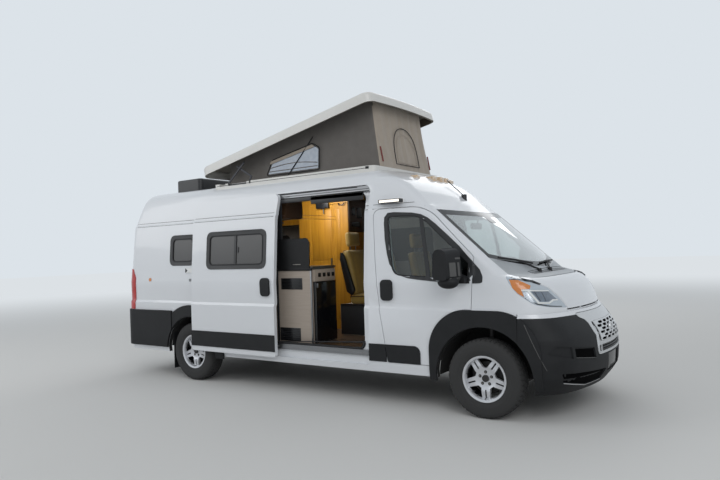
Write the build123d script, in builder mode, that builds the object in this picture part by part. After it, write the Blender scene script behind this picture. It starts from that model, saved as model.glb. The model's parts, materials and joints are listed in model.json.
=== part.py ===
# Camper van: a high-roofed panel van with its pop-top roof raised and its sliding side door open.
# Millimetres. +X points forwards, +Y to the van's left, +Z up.
# The origin lies on the ground under the middle of the van's length and width.

from build123d import *
import os
from math import cos, radians, sin, sqrt, tan

os.makedirs("parts", exist_ok=True)

# Driving dimensions of the vehicle
wheelbase = 4035.0
front_overhang = 948.0
rear_overhang = 1380.0
front_track = 1810.0
rear_track = 1790.0
tyre_radius = 372.0
tyre_width = 225.0
rim_seat_radius = 203.0

front_axle = (wheelbase + rear_overhang - front_overhang) / 2
rear_axle = front_axle - wheelbase
nose_tip = front_axle + front_overhang
tail_tip = rear_axle - rear_overhang

# Thicknesses and clearances
wall = 50.0
glass_thickness = 6.0
glass_inset = 3.0
door_gap = 6.0
bonnet_gap = 12.0
bonnet_skin = 16.0
glass_gap = 0.3
seat_gap = 0.3
pin_gap = 0.05
trim_depth = 22.0

# Heights of the body
sill_bottom = 350.0
floor_bottom = 500.0
floor_top = 560.0
glass_low = 1270.0
glass_high = 2200.0
gutter_height = 2050.0
cap_base = 2095.0
roof_height = 2524.0

# Wheel arches
arch_radius = 480.0
flare_rear = -553.0
flare_front = 552.0
flare_top = 1012.0
flare_rear_round = 400.0
flare_front_round = 410.0
flare_door_gap = 5.0
rear_arch_radius = 452.0
rear_trim_radius = 600.0
arch_centre_height = 378.0
wheelhouse_skin = 12.0


# Body sections, from the sill to the crown.  x is measured from the front axle.
# columns: height, half width, nose x, bow radius, corner half width, corner radius, tail x, tail radius
side_joint = -1232.0
body_rows = [
    (sill_bottom, 1010, 720, 2200, 985, 300, -5372, 150),
    (430, 1022, 735, 2200, 990, 310, -5380, 170),
    (1000, 1022, 750, 2300, 990, 310, -5385, 170),
    (1030, 1006, 740, 2400, 984, 300, -5385, 170),
    (1120, 1007, 702, 2500, 978, 280, -5385, 170),
    (1210, 1010, 655, 2500, 974, 240, -5385, 170),
    (glass_low, 1012, 590, 2500, 970, 200, -5384, 170),
    (1310, 1008, 490, 2500, 962, 170, -5383, 170),
    (1345, 1004, 365, 2600, 950, 150, -5382, 170),
    (1500, 993, 178, 2700, 932, 120, -5377, 170),
    (1750, 973, -110, 2700, 915, 115, -5366, 165),
    (2000, 953, -395, 2700, 894, 115, -5352, 160),
    (gutter_height, 944, -450, 2600, 885, 120, -5346, 155),
    (gutter_height + 12, 932, -462, 2500, 878, 120, -5344, 150),
    (cap_base, 928, -500, 2500, 872, 125, -5325, 150),
    (2200, 900, -610, 2400, 842, 130, -5295, 150),
    (2310, 868, -745, 2300, 805, 130, -5265, 150),
    (2390, 835, -895, 2200, 768, 120, -5235, 140),
    (2440, 800, -1010, 2100, 730, 100, -5205, 125),
    (2480, 752, -1120, 2000, 684, 75, -5170, 105),
    (2508, 685, -1250, 1900, 620, 55, -5120, 85),
    (roof_height, 590, -1400, 1800, 530, 30, -5050, 70),
]


def bowed_section(height, half_width, nose, bow, corner_width, corner_radius, tail, tail_radius, inset):
    """A plan section: bowed nose, rounded front corners, straight sides, rounded tail corners."""
    corner_x = nose - (bow - sqrt(bow ** 2 - corner_width ** 2)) - inset
    corner_y = corner_width - inset
    side_y = half_width - inset
    side_x = min(side_joint, corner_x - corner_radius - 20)
    with BuildSketch(Plane.XY.offset(height)) as section:
        with BuildLine():
            ThreePointArc(
                (front_axle + corner_x, -corner_y),
                (front_axle + nose - inset, 0),
                (front_axle + corner_x, corner_y),
            )
            Polyline(
                (front_axle + corner_x, corner_y),
                (front_axle + side_x, side_y),
                (front_axle + tail + inset, side_y),
                (front_axle + tail + inset, -side_y),
                (front_axle + side_x, -side_y),
                (front_axle + corner_x, -corner_y),
            )
        make_face()
        corners = section.vertices().sort_by(Axis.X)
        fillet(corners[-2:], max(corner_radius - inset, 12))
        corners = section.vertices().sort_by(Axis.X)
        fillet(corners[:2], max(tail_radius - inset, 12))
    return section.sketch


def body_form(inset, lowest=0.0, roof_drop=0.0, bottom=0.0, top=roof_height):
    """The closed form inside the body's outer skin, moved inwards by the inset, between two heights."""
    stretch = (roof_height - roof_drop - cap_base) / (roof_height - cap_base)
    with BuildPart() as form:
        for height, half, nose, bow, corner, radius, tail, tail_radius in body_rows:
            if height < bottom or height > top:
                continue
            if height == sill_bottom:
                level = height - lowest
            elif height > cap_base:
                level = cap_base + (height - cap_base) * stretch
            else:
                level = height
            add(bowed_section(level, half, nose, bow, corner, radius, tail, tail_radius, inset))
        loft(ruled=True)
    return form.part


def outline_prism(plane, corners, radii, start, end, grow=0.0):
    """A prism with rounded corners, drawn on a plane and reaching from start to end along its normal."""
    with BuildPart() as prism:
        with BuildSketch(plane.offset(start)):
            with BuildLine():
                FilletPolyline(*corners, radius=radii, close=True)
            make_face()
            if grow:
                offset(amount=grow, kind=Kind.INTERSECTION)
        extrude(amount=end - start)
    return prism.part


# The side plane looks from the van's right, so its normal runs towards -Y.
side_plane = Plane.XZ
front_plane = Plane.YZ


def at_front(points):
    """Points (x from the front axle, height) as places on the side plane."""
    return [(front_axle + x, height) for x, height in points]


def side_prism(points, radii, side, depth_from, depth_to, grow=0.0):
    """A prism through one side of the van; side is 1 for left and -1 for right."""
    if side > 0:
        start, end = -depth_to, -depth_from
    else:
        start, end = depth_from, depth_to
    return outline_prism(side_plane, at_front(points), radii, start, end, grow)


def block(x_low, x_high, y_low, y_high, z_low, z_high):
    """A box by its limits; x is measured from the front axle."""
    with BuildPart() as box:
        with BuildSketch(Plane.XY.offset(z_low)):
            with Locations((front_axle + (x_low + x_high) / 2, (y_low + y_high) / 2)):
                Rectangle(x_high - x_low, y_high - y_low)
        extrude(amount=z_high - z_low)
    return box.part


def soft_block(x_low, x_high, y_low, y_high, z_low, z_high, radius):
    """A box with all its edges rounded; x is measured from the front axle."""
    with BuildPart() as box:
        add(block(x_low, x_high, y_low, y_high, z_low, z_high))
        fillet(box.edges(), radius)
    return box.part


def cross_rod(x, z, radius, y_low, y_high):
    """A round rod across the van at x from the front axle."""
    with BuildPart() as rod:
        with BuildSketch(Plane.XZ.offset(-y_high)):
            with Locations((front_axle + x, z)):
                Circle(radius)
        extrude(amount=y_high - y_low)
    return rod.part


def upright_rod(x, y, radius, z_low, z_high):
    """A vertical round rod at x from the front axle."""
    with BuildPart() as rod:
        with BuildSketch(Plane.XY.offset(z_low)):
            with Locations((front_axle + x, y)):
                Circle(radius)
        extrude(amount=z_high - z_low)
    return rod.part


def rod_between(start, end, radius):
    """A round rod between two points (x from the front axle, y, z)."""
    foot = Vector(front_axle + start[0], start[1], start[2])
    head = Vector(front_axle + end[0], end[1], end[2])
    run = head - foot
    with BuildPart() as rod:
        with BuildSketch(Plane(origin=foot, z_dir=run)):
            Circle(radius)
        extrude(amount=run.length)
    return rod.part


outer_form = body_form(0.0)
inner_form = body_form(wall, lowest=10.0, roof_drop=wall)
body_shell = outer_form - inner_form
glass_outer = body_form(glass_inset, bottom=glass_low, top=glass_high)
glass_shell = glass_outer - body_form(glass_inset + glass_thickness, bottom=glass_low, top=glass_high)
nose_shell = body_shell & block(-900, 900, -1100, 1100, 300, 2600)
bonnet_under = Pos(0, 0, -bonnet_skin) * body_form(bonnet_skin - 6, bottom=1000, top=1500)
bonnet_shell = body_form(0.0, bottom=1000, top=1500) - bonnet_under
side_shell = {
    "left": body_shell & block(-5500, 900, 600, 1100, 300, 2600),
    "right": body_shell & block(-5500, 900, -1100, -600, 300, 2600),
}
tail_shell = body_shell & block(-5500, -5000, -1100, 1100, 300, 2600)

# Outlines on the side: x from the front axle, height, with a corner radius for each
front_door_outline = [
    (-1204, 2042), (-1171, 1487), (-1129, 1036), (-1035, 455), (-480, 455), (-110, 860), (-88, 1270), (-80, 1520),
    (-600, 2042),
]
front_door_radii = [85, 400, 300, 25, 60, 60, 300, 40, 400]
front_glass_outline = [
    (-1034, 1962), (-991, 1565), (-960, 1345), (-505, 1320), (-130, 1298), (-125, 1459), (-655, 1950),
]
front_glass_radii = [45, 300, 130, 300, 25, 25, 300]
slider_closed_front = -1265.0
slider_width = 1420.0
slider_travel = -1235.0
slider_swing = 85.0
slider_bottom = 415.0
slider_top = 2318.0
slider_outline = [
    (slider_closed_front - slider_width, slider_bottom), (slider_closed_front, slider_bottom),
    (slider_closed_front, slider_top), (slider_closed_front - slider_width, slider_top),
]
slider_radii = [30, 30, 90, 90]
doorway_margin = 62.0
doorway_bottom = 575.0
doorway_top = 2240.0
doorway_outline = [
    (slider_closed_front - slider_width + doorway_margin, doorway_bottom),
    (slider_closed_front - doorway_margin, doorway_bottom),
    (slider_closed_front - doorway_margin, doorway_top),
    (slider_closed_front - slider_width + doorway_margin, doorway_top),
]
doorway_radii = [40, 40, 90, 90]
recess_depth = 30.0
window_low = 1446.0
window_high = 1899.0
slider_window = [(-2401, window_low), (-1405, window_low), (-1405, window_high), (-2401, window_high)]
quarter_window = [(-4448, 1500), (-3960, 1500), (-3960, 1890), (-4448, 1890)]
dinette_window = [(-2380, window_low), (-1480, window_low), (-1480, window_high), (-2380, window_high)]
window_radius = 85.0

side_reach = 1130.0
cabin_reach = 700.0


def arch_cutter(x, radius, side, depth_from):
    """A round cutter through one side of the body at an axle."""
    with BuildPart() as cutter:
        with BuildSketch(Plane.XZ.offset(-depth_from * side)):
            with Locations((front_axle + x, arch_centre_height)):
                Circle(radius)
        extrude(amount=-side * (side_reach + 200 - depth_from))
    return cutter.part


rear_axle_offset = -wheelbase
flare_outline = [(flare_rear, 300), (flare_front, 300), (flare_front, flare_top), (flare_rear, flare_top)]
flare_radii = [5, 5, flare_front_round, flare_rear_round]


def flare_prism(side, grow=0.0):
    """A prism of the front arch flare's outline, through one side of the body."""
    return side_prism(flare_outline, flare_radii, side, cabin_reach - 200, side_reach + 100, grow)


# Prisms that split the shell into panels
door_hole = {}
door_form = {}
glass_hole = {}
glass_form = {}
for name, side in (("left", 1), ("right", -1)):
    door_prism = side_prism(front_door_outline, front_door_radii, side, cabin_reach, side_reach)
    door_hole[name] = door_prism - flare_prism(side)
    door_prism = side_prism(front_door_outline, front_door_radii, side, cabin_reach, side_reach, -door_gap)
    door_form[name] = door_prism - flare_prism(side, flare_door_gap)
    glass_hole[name] = side_prism(front_glass_outline, front_glass_radii, side, cabin_reach, side_reach)
    glass_form[name] = side_prism(front_glass_outline, front_glass_radii, side, cabin_reach, side_reach, -glass_gap)

# Windscreen, drawn from the front: y, height
screen_bottom_corner = (862, 1505)
screen_top_corner = (815, 2005)
screen_bottom_middle = 1387.0
screen_top_middle = 1985.0


def screen_prism(grow):
    with BuildPart() as prism:
        with BuildSketch(front_plane.offset(front_axle - 800)):
            with BuildLine():
                bottom_y, bottom_z = screen_bottom_corner
                top_y, top_z = screen_top_corner
                ThreePointArc((-bottom_y, bottom_z), (0, screen_bottom_middle), (bottom_y, bottom_z))
                Line((bottom_y, bottom_z), (top_y, top_z))
                ThreePointArc((top_y, top_z), (0, screen_top_middle), (-top_y, top_z))
                Line((-top_y, top_z), (-bottom_y, bottom_z))
            make_face()
            if grow:
                offset(amount=grow, kind=Kind.INTERSECTION)
        extrude(amount=1500)
    return prism.part


# Bonnet, drawn from above: x from the front axle, y, with a corner radius for each.
# Its rear edge bows forwards from the tips beside the windscreen.
bonnet_middle = (509, 3000)
bonnet_half = [
    (481, 437, 1500), (424, 659, 600), (355, 790, 500), (296, 870, 14), (470, 800, 300), (575, 690, 200),
    (668, 575, 60), (800, 520, 8),
]
bonnet_bottom = 1003.0
bonnet_top = 1420.0


def bonnet_prism(grow):
    middle_x, middle_radius = bonnet_middle
    right = [(front_axle + x, -y) for x, y, radius in bonnet_half]
    left = [(front_axle + x, y) for x, y, radius in reversed(bonnet_half)]
    half_radii = [radius for x, y, radius in bonnet_half]
    radii = [middle_radius] + half_radii + half_radii[::-1]
    with BuildPart() as prism:
        with BuildSketch(Plane.XY.offset(bonnet_bottom - grow)):
            with BuildLine():
                FilletPolyline((front_axle + middle_x, 0), *right, *left, radius=radii, close=True)
            make_face()
            if grow:
                offset(amount=grow, kind=Kind.INTERSECTION)
        extrude(amount=bonnet_top - bonnet_bottom + 2 * grow)
    return prism.part


def joined_at(part, x=0.0, y=0.0, z=0.0):
    """A copy of a part moved as a whole."""
    return Pos(x, y, z) * part


both_sides = (("left", 1), ("right", -1))
pieces = {}


def keep(name, piece):
    """Label a finished piece and write it to its own file."""
    piece.part.label = name
    export_step(piece.part, "parts/" + name + ".step")
    pieces[name] = piece.part


# Limits of the body's panels
rear_door_half = 778.0
rear_door_bottom = 562.0
rear_door_top = 2290.0
header_half = 800.0
screen_split = 1420.0
fender_seam = -88.0
bumper_seam = 345.0
bumper_top = 984.0
rear_face = -5385.0
rear_depth = 270.0
cowl_half = 858.0

screen_hole = screen_prism(0.0)
bonnet_hole = bonnet_prism(bonnet_gap / 2)
top_region = block(-5500, 900, -1100, 1100, gutter_height + 6, 2600) + block(
    -900, 0, -header_half, header_half, 1975, gutter_height + 6
)
front_region = block(fender_seam, 900, -1100, 1100, 850, screen_split) + block(
    fender_seam, 900, -870, 870, screen_split, 1520
)
with BuildPart() as rear_doorway:
    with BuildSketch(front_plane.offset(front_axle + rear_face - 60)):
        with BuildLine():
            FilletPolyline(
                (-rear_door_half, rear_door_bottom), (rear_door_half, rear_door_bottom),
                (rear_door_half, rear_door_top), (-rear_door_half, rear_door_top),
                radius=[30, 30, 110, 110], close=True,
            )
        make_face()
    extrude(amount=rear_depth)
rear_doorway = rear_doorway.part


def cowl_prism(grow):
    """The cowl's plan between windscreen and bonnet; its front edge lies under the bonnet's rear edge."""
    half = [(-150, cowl_half), (290, cowl_half), (420, 760), (560, 400)]
    with BuildPart() as prism:
        with BuildSketch(Plane.XY.offset(1250)):
            with BuildLine():
                right = [(front_axle + x, -y) for x, y in half]
                left = [(front_axle + x, y) for x, y in reversed(half)]
                Polyline(*right, *left, close=True)
            make_face()
            if grow:
                offset(amount=grow, kind=Kind.INTERSECTION)
        extrude(amount=400)
    return prism.part


doorway_recess = side_prism(slider_outline, slider_radii, -1, cabin_reach, side_reach)
recess_floor = body_form(recess_depth)
recess_cut = doorway_recess - recess_floor
doorway = side_prism(doorway_outline, doorway_radii, -1, cabin_reach - 100, side_reach)
slider_window_hole = side_prism(slider_window, [window_radius] * 4, -1, cabin_reach, side_reach)
slider_window_pane = side_prism(slider_window, [window_radius] * 4, -1, cabin_reach, side_reach, -glass_gap)

# Rear door hinges: ears with a pin on the body, a knuckle with a leaf on the door
rear_hinge_offset = -5405.0
rear_hinge_y = 792.0
rear_hinges = [(965.0, -5385.0), (1400.0, -5380.0), (1930.0, -5356.0)]
hinge_pin = 7.0
hinge_radius = 13.0
hinge_half = 20.0


def hinge_ears(level, face_x, side):
    """Two ears with the pin between them, beside the rear door's edge; face_x is the body's surface there."""
    with BuildPart() as ears:
        for low in (level - hinge_half - 14, level + hinge_half):
            near, far = side * rear_hinge_y, side * (rear_hinge_y + 46)
            add(block(rear_hinge_offset - 6, rear_hinge_offset + 6, min(near, far), max(near, far), low, low + 14))
            near = side * (rear_hinge_y + 14)
            add(block(rear_hinge_offset - 6, face_x + 12, min(near, far), max(near, far), low, low + 14))
            add(upright_rod(rear_hinge_offset, side * rear_hinge_y, hinge_radius, low, low + 14))
        pin_low = level - hinge_half - 5
        pin_high = level + hinge_half + 5
        add(upright_rod(rear_hinge_offset, side * rear_hinge_y, hinge_pin, pin_low, pin_high))
    return ears.part


def hinge_leaf(level, face_x, side):
    """The door's knuckle round the pin, and the leaf that joins it to the door's outer face."""
    low, high = level - hinge_half + seat_gap, level + hinge_half - seat_gap
    with BuildPart() as leaf:
        near, far = side * (rear_hinge_y - 47), side * rear_hinge_y
        add(block(rear_hinge_offset - 6, rear_hinge_offset + 6, min(near, far), max(near, far), low, high))
        far = side * (rear_hinge_y - 22)
        add(block(rear_hinge_offset - 6, face_x + 12, min(near, far), max(near, far), low, high))
        add(upright_rod(rear_hinge_offset, side * rear_hinge_y, hinge_radius, low, high))
        add(
            upright_rod(rear_hinge_offset, side * rear_hinge_y, hinge_pin + pin_gap, low - 1, high + 1),
            mode=Mode.SUBTRACT,
        )
    return leaf.part


# Side panels: the bodyside with its pillars, each with the openings that its side has
for name, side in both_sides:
    with BuildPart() as side_panel:
        add(side_shell[name])
        add(block(-5500, 900, -781, 781, 300, 2600), mode=Mode.SUBTRACT)
        add(top_region, mode=Mode.SUBTRACT)
        add(front_region, mode=Mode.SUBTRACT)
        add(block(fender_seam, 900, -1100, 1100, 300, 860), mode=Mode.SUBTRACT)
        for level, face_x in rear_hinges:
            add(hinge_ears(level, face_x, side))
        add(door_hole[name], mode=Mode.SUBTRACT)
        add(screen_hole, mode=Mode.SUBTRACT)
        add(arch_cutter(0, arch_radius, side, 600), mode=Mode.SUBTRACT)
        add(arch_cutter(rear_axle_offset, rear_arch_radius, side, 600), mode=Mode.SUBTRACT)
        add(side_prism(quarter_window, [window_radius] * 4, side, cabin_reach, side_reach), mode=Mode.SUBTRACT)
        if side < 0:
            add(recess_cut, mode=Mode.SUBTRACT)
            add(doorway, mode=Mode.SUBTRACT)
        else:
            add(side_prism(dinette_window, [window_radius] * 4, side, cabin_reach, side_reach), mode=Mode.SUBTRACT)
    keep("side_panel_" + name, side_panel)

# Roof panel: high cap with the pop-top's hole, and the header over the windscreen
pop_hole_front = -1390.0
pop_hole_rear = -3700.0
pop_hole_half = 590.0
roof_pad_half = 380.0
roof_pad_rise = 4.0
with BuildPart() as roof_panel:
    add(body_shell)
    add(top_region, mode=Mode.INTERSECT)
    add(screen_hole, mode=Mode.SUBTRACT)
    add(rear_doorway, mode=Mode.SUBTRACT)
    add(recess_cut, mode=Mode.SUBTRACT)
    add(doorway, mode=Mode.SUBTRACT)
    add(block(pop_hole_rear, pop_hole_front, -pop_hole_half, pop_hole_half, 2300, 2600), mode=Mode.SUBTRACT)
    add(block(-4410, -4090, -roof_pad_half, roof_pad_half, roof_height - 10, roof_height + roof_pad_rise))
keep("roof_panel", roof_panel)

# Headlamp outline on the side; the bonnet's seam closes it at the front
lamp_outline = [(222, 1334), (300, 1400), (800, 1300), (800, 1000), (672, 1018), (482, 1070), (330, 1180)]
lamp_radii = [20, 10, 10, 10, 60, 150, 250]
with BuildPart() as headlamps:
    for name, side in both_sides:
        with BuildPart(mode=Mode.PRIVATE) as headlamp:
            add(nose_shell)
            add(side_prism(lamp_outline, lamp_radii, side, 300, side_reach, -seat_gap), mode=Mode.INTERSECT)
            add(bonnet_hole, mode=Mode.SUBTRACT)
            add(cowl_prism(seat_gap), mode=Mode.SUBTRACT)
        add(headlamp.part.solids().sort_by(SortBy.VOLUME)[-1])
keep("headlamps", headlamps)
lamp_holes = [side_prism(lamp_outline, lamp_radii, side, 300, side_reach) for name, side in both_sides]

# Front panel: fenders and the strip under the bonnet's edge, with the bonnet's rubber stops
bonnet_stop_x = 714.0
bonnet_stop_y = 300.0
with BuildPart() as front_panel:
    add(nose_shell)
    add(front_region, mode=Mode.INTERSECT)
    add(block(bumper_seam - 10, 1000, -1100, 1100, 800, bumper_top + seat_gap), mode=Mode.SUBTRACT)
    add(bonnet_hole, mode=Mode.SUBTRACT)
    add(screen_hole, mode=Mode.SUBTRACT)
    add(cowl_prism(seat_gap), mode=Mode.SUBTRACT)
    for hole in lamp_holes:
        add(hole, mode=Mode.SUBTRACT)
    for name, side in both_sides:
        add(arch_cutter(0, arch_radius, side, 500), mode=Mode.SUBTRACT)
        add(door_hole[name], mode=Mode.SUBTRACT)
    for side in (1, -1):
        stop_top = bonnet_bottom + bonnet_gap / 2 - seat_gap
        add(upright_rod(bonnet_stop_x, side * bonnet_stop_y, 12, bumper_top + 3, stop_top))
    for sliver in front_panel.solids().sort_by(SortBy.VOLUME)[:-1]:
        add(sliver, mode=Mode.SUBTRACT)
keep("front_panel", front_panel)

with BuildPart() as bonnet:
    add(bonnet_shell)
    add(bonnet_prism(-bonnet_gap / 2), mode=Mode.INTERSECT)
keep("bonnet", bonnet)

with BuildPart() as cowl:
    add(nose_shell)
    add(front_region, mode=Mode.INTERSECT)
    add(cowl_prism(0.0), mode=Mode.INTERSECT)
    add(bonnet_hole, mode=Mode.SUBTRACT)
    add(screen_hole, mode=Mode.SUBTRACT)
    for sliver in cowl.solids().sort_by(SortBy.VOLUME)[:-1]:
        add(sliver, mode=Mode.SUBTRACT)
keep("cowl", cowl)

with BuildPart() as windscreen:
    add(glass_shell)
    add(screen_prism(-glass_gap), mode=Mode.INTERSECT)
keep("windscreen", windscreen)

# Black overlays lie on the outer skin
trim_low = 320.0
low_form = body_form(0.0, lowest=sill_bottom - trim_low + 10, top=1500)
trim_shell = body_form(-trim_depth, lowest=sill_bottom - trim_low, top=1500) - low_form
band_depth = 9.0
band_shell = body_form(-band_depth, top=1500) - low_form
band_bottom = 461.0
band_top = 640.0
door_band_front = -657.0

# Front doors with their glass, mirrors and black trim
handle_low = 1088.0
handle_high = 1303.0
mirror_low = 1270.0
mirror_high = 1620.0
for name, side in both_sides:
    with BuildPart() as front_door:
        add(side_shell[name])
        add(door_form[name], mode=Mode.INTERSECT)
        add(glass_hole[name], mode=Mode.SUBTRACT)
    keep("front_door_" + name, front_door)

    with BuildPart() as door_glass:
        add(glass_shell)
        add(glass_form[name], mode=Mode.INTERSECT)
    keep("door_glass_" + name, door_glass)

    with BuildPart() as door_trim:
        with BuildPart(mode=Mode.PRIVATE) as band:
            add(band_shell)
            add(door_form[name], mode=Mode.INTERSECT)
            band_outline = [(-1300, 400), (door_band_front, 400), (door_band_front, band_top), (-1300, band_top)]
            add(side_prism(band_outline, [5, 5, 70, 5], side, cabin_reach, side_reach + 50), mode=Mode.INTERSECT)
        add(band.part)
        with BuildPart(mode=Mode.PRIVATE) as handle:
            add(trim_shell)
            handle_outline = [(-1096, handle_low), (-958, handle_low), (-958, handle_high), (-1096, handle_high)]
            add(side_prism(handle_outline, [45] * 4, side, cabin_reach, side_reach), mode=Mode.INTERSECT)
        add(handle.part)
        with BuildPart(mode=Mode.PRIVATE) as mirror_head:
            with BuildSketch(Plane.XZ.offset(-side * 1062)):
                with BuildLine():
                    FilletPolyline(
                        *at_front([(-372, 1300), (-150, 1290), (-170, 1600), (-352, 1612)]),
                        radius=[45, 40, 60, 60], close=True,
                    )
                make_face()
            with BuildSketch(Plane.XZ.offset(-side * 1254)):
                with BuildLine():
                    FilletPolyline(
                        *at_front([(-372, 1312), (-215, 1302), (-225, 1590), (-354, 1600)]),
                        radius=[45, 40, 60, 60], close=True,
                    )
                make_face()
            loft(ruled=True)
        add(mirror_head.part)
        with BuildPart(mode=Mode.PRIVATE) as mirror_foot:
            with BuildSketch(Plane.XZ.offset(-side * 930)):
                with BuildLine():
                    FilletPolyline(
                        *at_front([(-330, 1275), (-130, 1275), (-135, 1330), (-320, 1400)]),
                        radius=[15, 15, 15, 30], close=True,
                    )
                make_face()
            extrude(amount=-side * 135)
            add(low_form, mode=Mode.SUBTRACT)
        add(mirror_foot.part)
        for sliver in door_trim.solids().sort_by(SortBy.VOLUME)[:-3]:
            add(sliver, mode=Mode.SUBTRACT)
    keep("door_trim_" + name, door_trim)

# Sliding door: cut from the closed bodyside, then placed where it stands open
slider_thickness = 45.0
slider_shell = side_shell["right"] - body_form(slider_thickness)
with BuildPart() as closed_slider:
    add(slider_shell)
    add(side_prism(slider_outline, slider_radii, -1, cabin_reach, side_reach, -door_gap / 2), mode=Mode.INTERSECT)
    add(slider_window_hole, mode=Mode.SUBTRACT)
with BuildPart() as sliding_door:
    add(joined_at(closed_slider.part, slider_travel, -slider_swing))
keep("sliding_door", sliding_door)

# Fixed side glass: sliding door window, quarter windows, and the window over the bench
with BuildPart() as side_windows:
    with BuildPart(mode=Mode.PRIVATE) as slider_pane:
        add(glass_shell)
        add(slider_window_pane, mode=Mode.INTERSECT)
    add(joined_at(slider_pane.part, slider_travel, -slider_swing))
    for name, side in both_sides:
        with BuildPart(mode=Mode.PRIVATE) as quarter_pane:
            add(glass_shell)
            pane = side_prism(quarter_window, [window_radius] * 4, side, cabin_reach, side_reach, -glass_gap)
            add(pane, mode=Mode.INTERSECT)
        add(quarter_pane.part)
    with BuildPart(mode=Mode.PRIVATE) as dinette_pane:
        add(glass_shell)
        pane = side_prism(dinette_window, [window_radius] * 4, 1, cabin_reach, side_reach, -glass_gap)
        add(pane, mode=Mode.INTERSECT)
    add(dinette_pane.part)
keep("side_windows", side_windows)

# Black side trim: arch trims, sill bands, doorway seal and mud flaps
flap_front = -4420.0
with BuildPart() as side_trim:
    for name, side in both_sides:
        with BuildPart(mode=Mode.PRIVATE) as front_arch:
            add(trim_shell)
            add(flare_prism(side, -seat_gap), mode=Mode.INTERSECT)
            add(arch_cutter(0, arch_radius, side, 600), mode=Mode.SUBTRACT)
            add(block(-900, bumper_seam - 4, -1200, 1200, trim_low, 1100), mode=Mode.INTERSECT)
        add(front_arch.part)
        with BuildPart(mode=Mode.PRIVATE) as rear_arch:
            add(trim_shell)
            add(arch_cutter(rear_axle_offset, rear_trim_radius, side, 700), mode=Mode.INTERSECT)
            add(arch_cutter(rear_axle_offset, rear_arch_radius, side, 600), mode=Mode.SUBTRACT)
            add(block(-4388, -3000, -1200, 1200, trim_low, 985), mode=Mode.INTERSECT)
        add(rear_arch.part)
        with BuildPart(mode=Mode.PRIVATE) as mud_flap:
            flap_low = min(side * 790, side * 985)
            flap_high = max(side * 790, side * 965)
            add(block(flap_front - 8, flap_front, flap_low, flap_high, 127, 600.9))
        add(mud_flap.part)
    with BuildPart(mode=Mode.PRIVATE) as pillar_band:
        add(band_shell)
        add(block(-1258, -1046, -1200, 0, band_bottom, band_top), mode=Mode.INTERSECT)
        add(door_hole["right"], mode=Mode.SUBTRACT)
    add(pillar_band.part)
    with BuildPart(mode=Mode.PRIVATE) as slider_band:
        add(band_shell)
        add(block(-2683, -1268, -1200, 0, 480, 670), mode=Mode.INTERSECT)
    add(joined_at(slider_band.part, slider_travel, -slider_swing))
    with BuildPart(mode=Mode.PRIVATE) as slider_handle:
        add(trim_shell)
        handle_outline = [(-1470, 1118), (-1332, 1118), (-1332, 1330), (-1470, 1330)]
        add(side_prism(handle_outline, [45] * 4, -1, cabin_reach, side_reach), mode=Mode.INTERSECT)
    add(joined_at(slider_handle.part, slider_travel, -slider_swing))
keep("side_trim", side_trim)

# Door rails in the bodyside and the arms that carry the sliding door
rail_shell = (body_form(4.0) - recess_floor) & block(-2700, -1200, -1100, -700, 400, 2400)
with BuildPart() as door_rails:
    with BuildPart(mode=Mode.PRIVATE) as top_rail:
        add(rail_shell)
        add(block(-2600, -1272, -1100, -700, 2248, 2308), mode=Mode.INTERSECT)
        add(recess_cut, mode=Mode.INTERSECT)
    add(top_rail.part)
    with BuildPart(mode=Mode.PRIVATE) as threshold:
        add(rail_shell)
        add(block(-2600, -1272, -1100, -700, 506, 566), mode=Mode.INTERSECT)
        add(recess_cut, mode=Mode.INTERSECT)
    add(threshold.part)
    middle_rail_y = 1011.0
    add(block(-4040, -2700, -middle_rail_y - 18, -middle_rail_y - 0.3, 1285, 1320))
    slider_inner = 1022 + slider_swing - slider_thickness
    arms = [
        # x low, x high, y inner, y outer, z low, z high
        (-3960, -3880, middle_rail_y + 18, 1007 + slider_swing - slider_thickness, 1288, 1316),
        (-2590, -2530, 1001, slider_inner, 520, 548),
        (-2590, -2530, 872, 912.9, 2262, 2292),
    ]
    for x_low, x_high, y_inner, y_outer, z_low, z_high in arms:
        add(block(x_low, x_high, -y_outer, -y_inner, z_low, z_high))
keep("door_rails", door_rails)

# Rear doors and their glass
rear_window_low = 1420.0
rear_window_high = 1900.0
# Half the gap between the doors at some heights: it widens where they lean, so that one swings clear of the other
meeting_gaps = [(rear_door_bottom - 20, 4.5), (1650.0, 4.5), (2010.0, 6.5), (rear_door_top + 20, 11.0)]
meeting_outline = [(half, level) for level, half in meeting_gaps]
meeting_outline += [(-half, level) for level, half in reversed(meeting_gaps)]


def rear_prism(low_y, high_y, low_z, high_z, radii, grow=0.0):
    with BuildPart() as prism:
        with BuildSketch(front_plane.offset(front_axle + rear_face - 60)):
            with BuildLine():
                FilletPolyline(
                    (low_y, low_z), (high_y, low_z), (high_y, high_z), (low_y, high_z), radius=radii, close=True
                )
            make_face()
            if grow:
                offset(amount=grow, kind=Kind.INTERSECTION)
        extrude(amount=rear_depth)
    return prism.part


with BuildPart() as meeting_gap:
    with BuildSketch(front_plane.offset(front_axle + rear_face - 60)):
        Polygon(*meeting_outline, align=None)
    extrude(amount=rear_depth)
meeting_gap = meeting_gap.part

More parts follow.
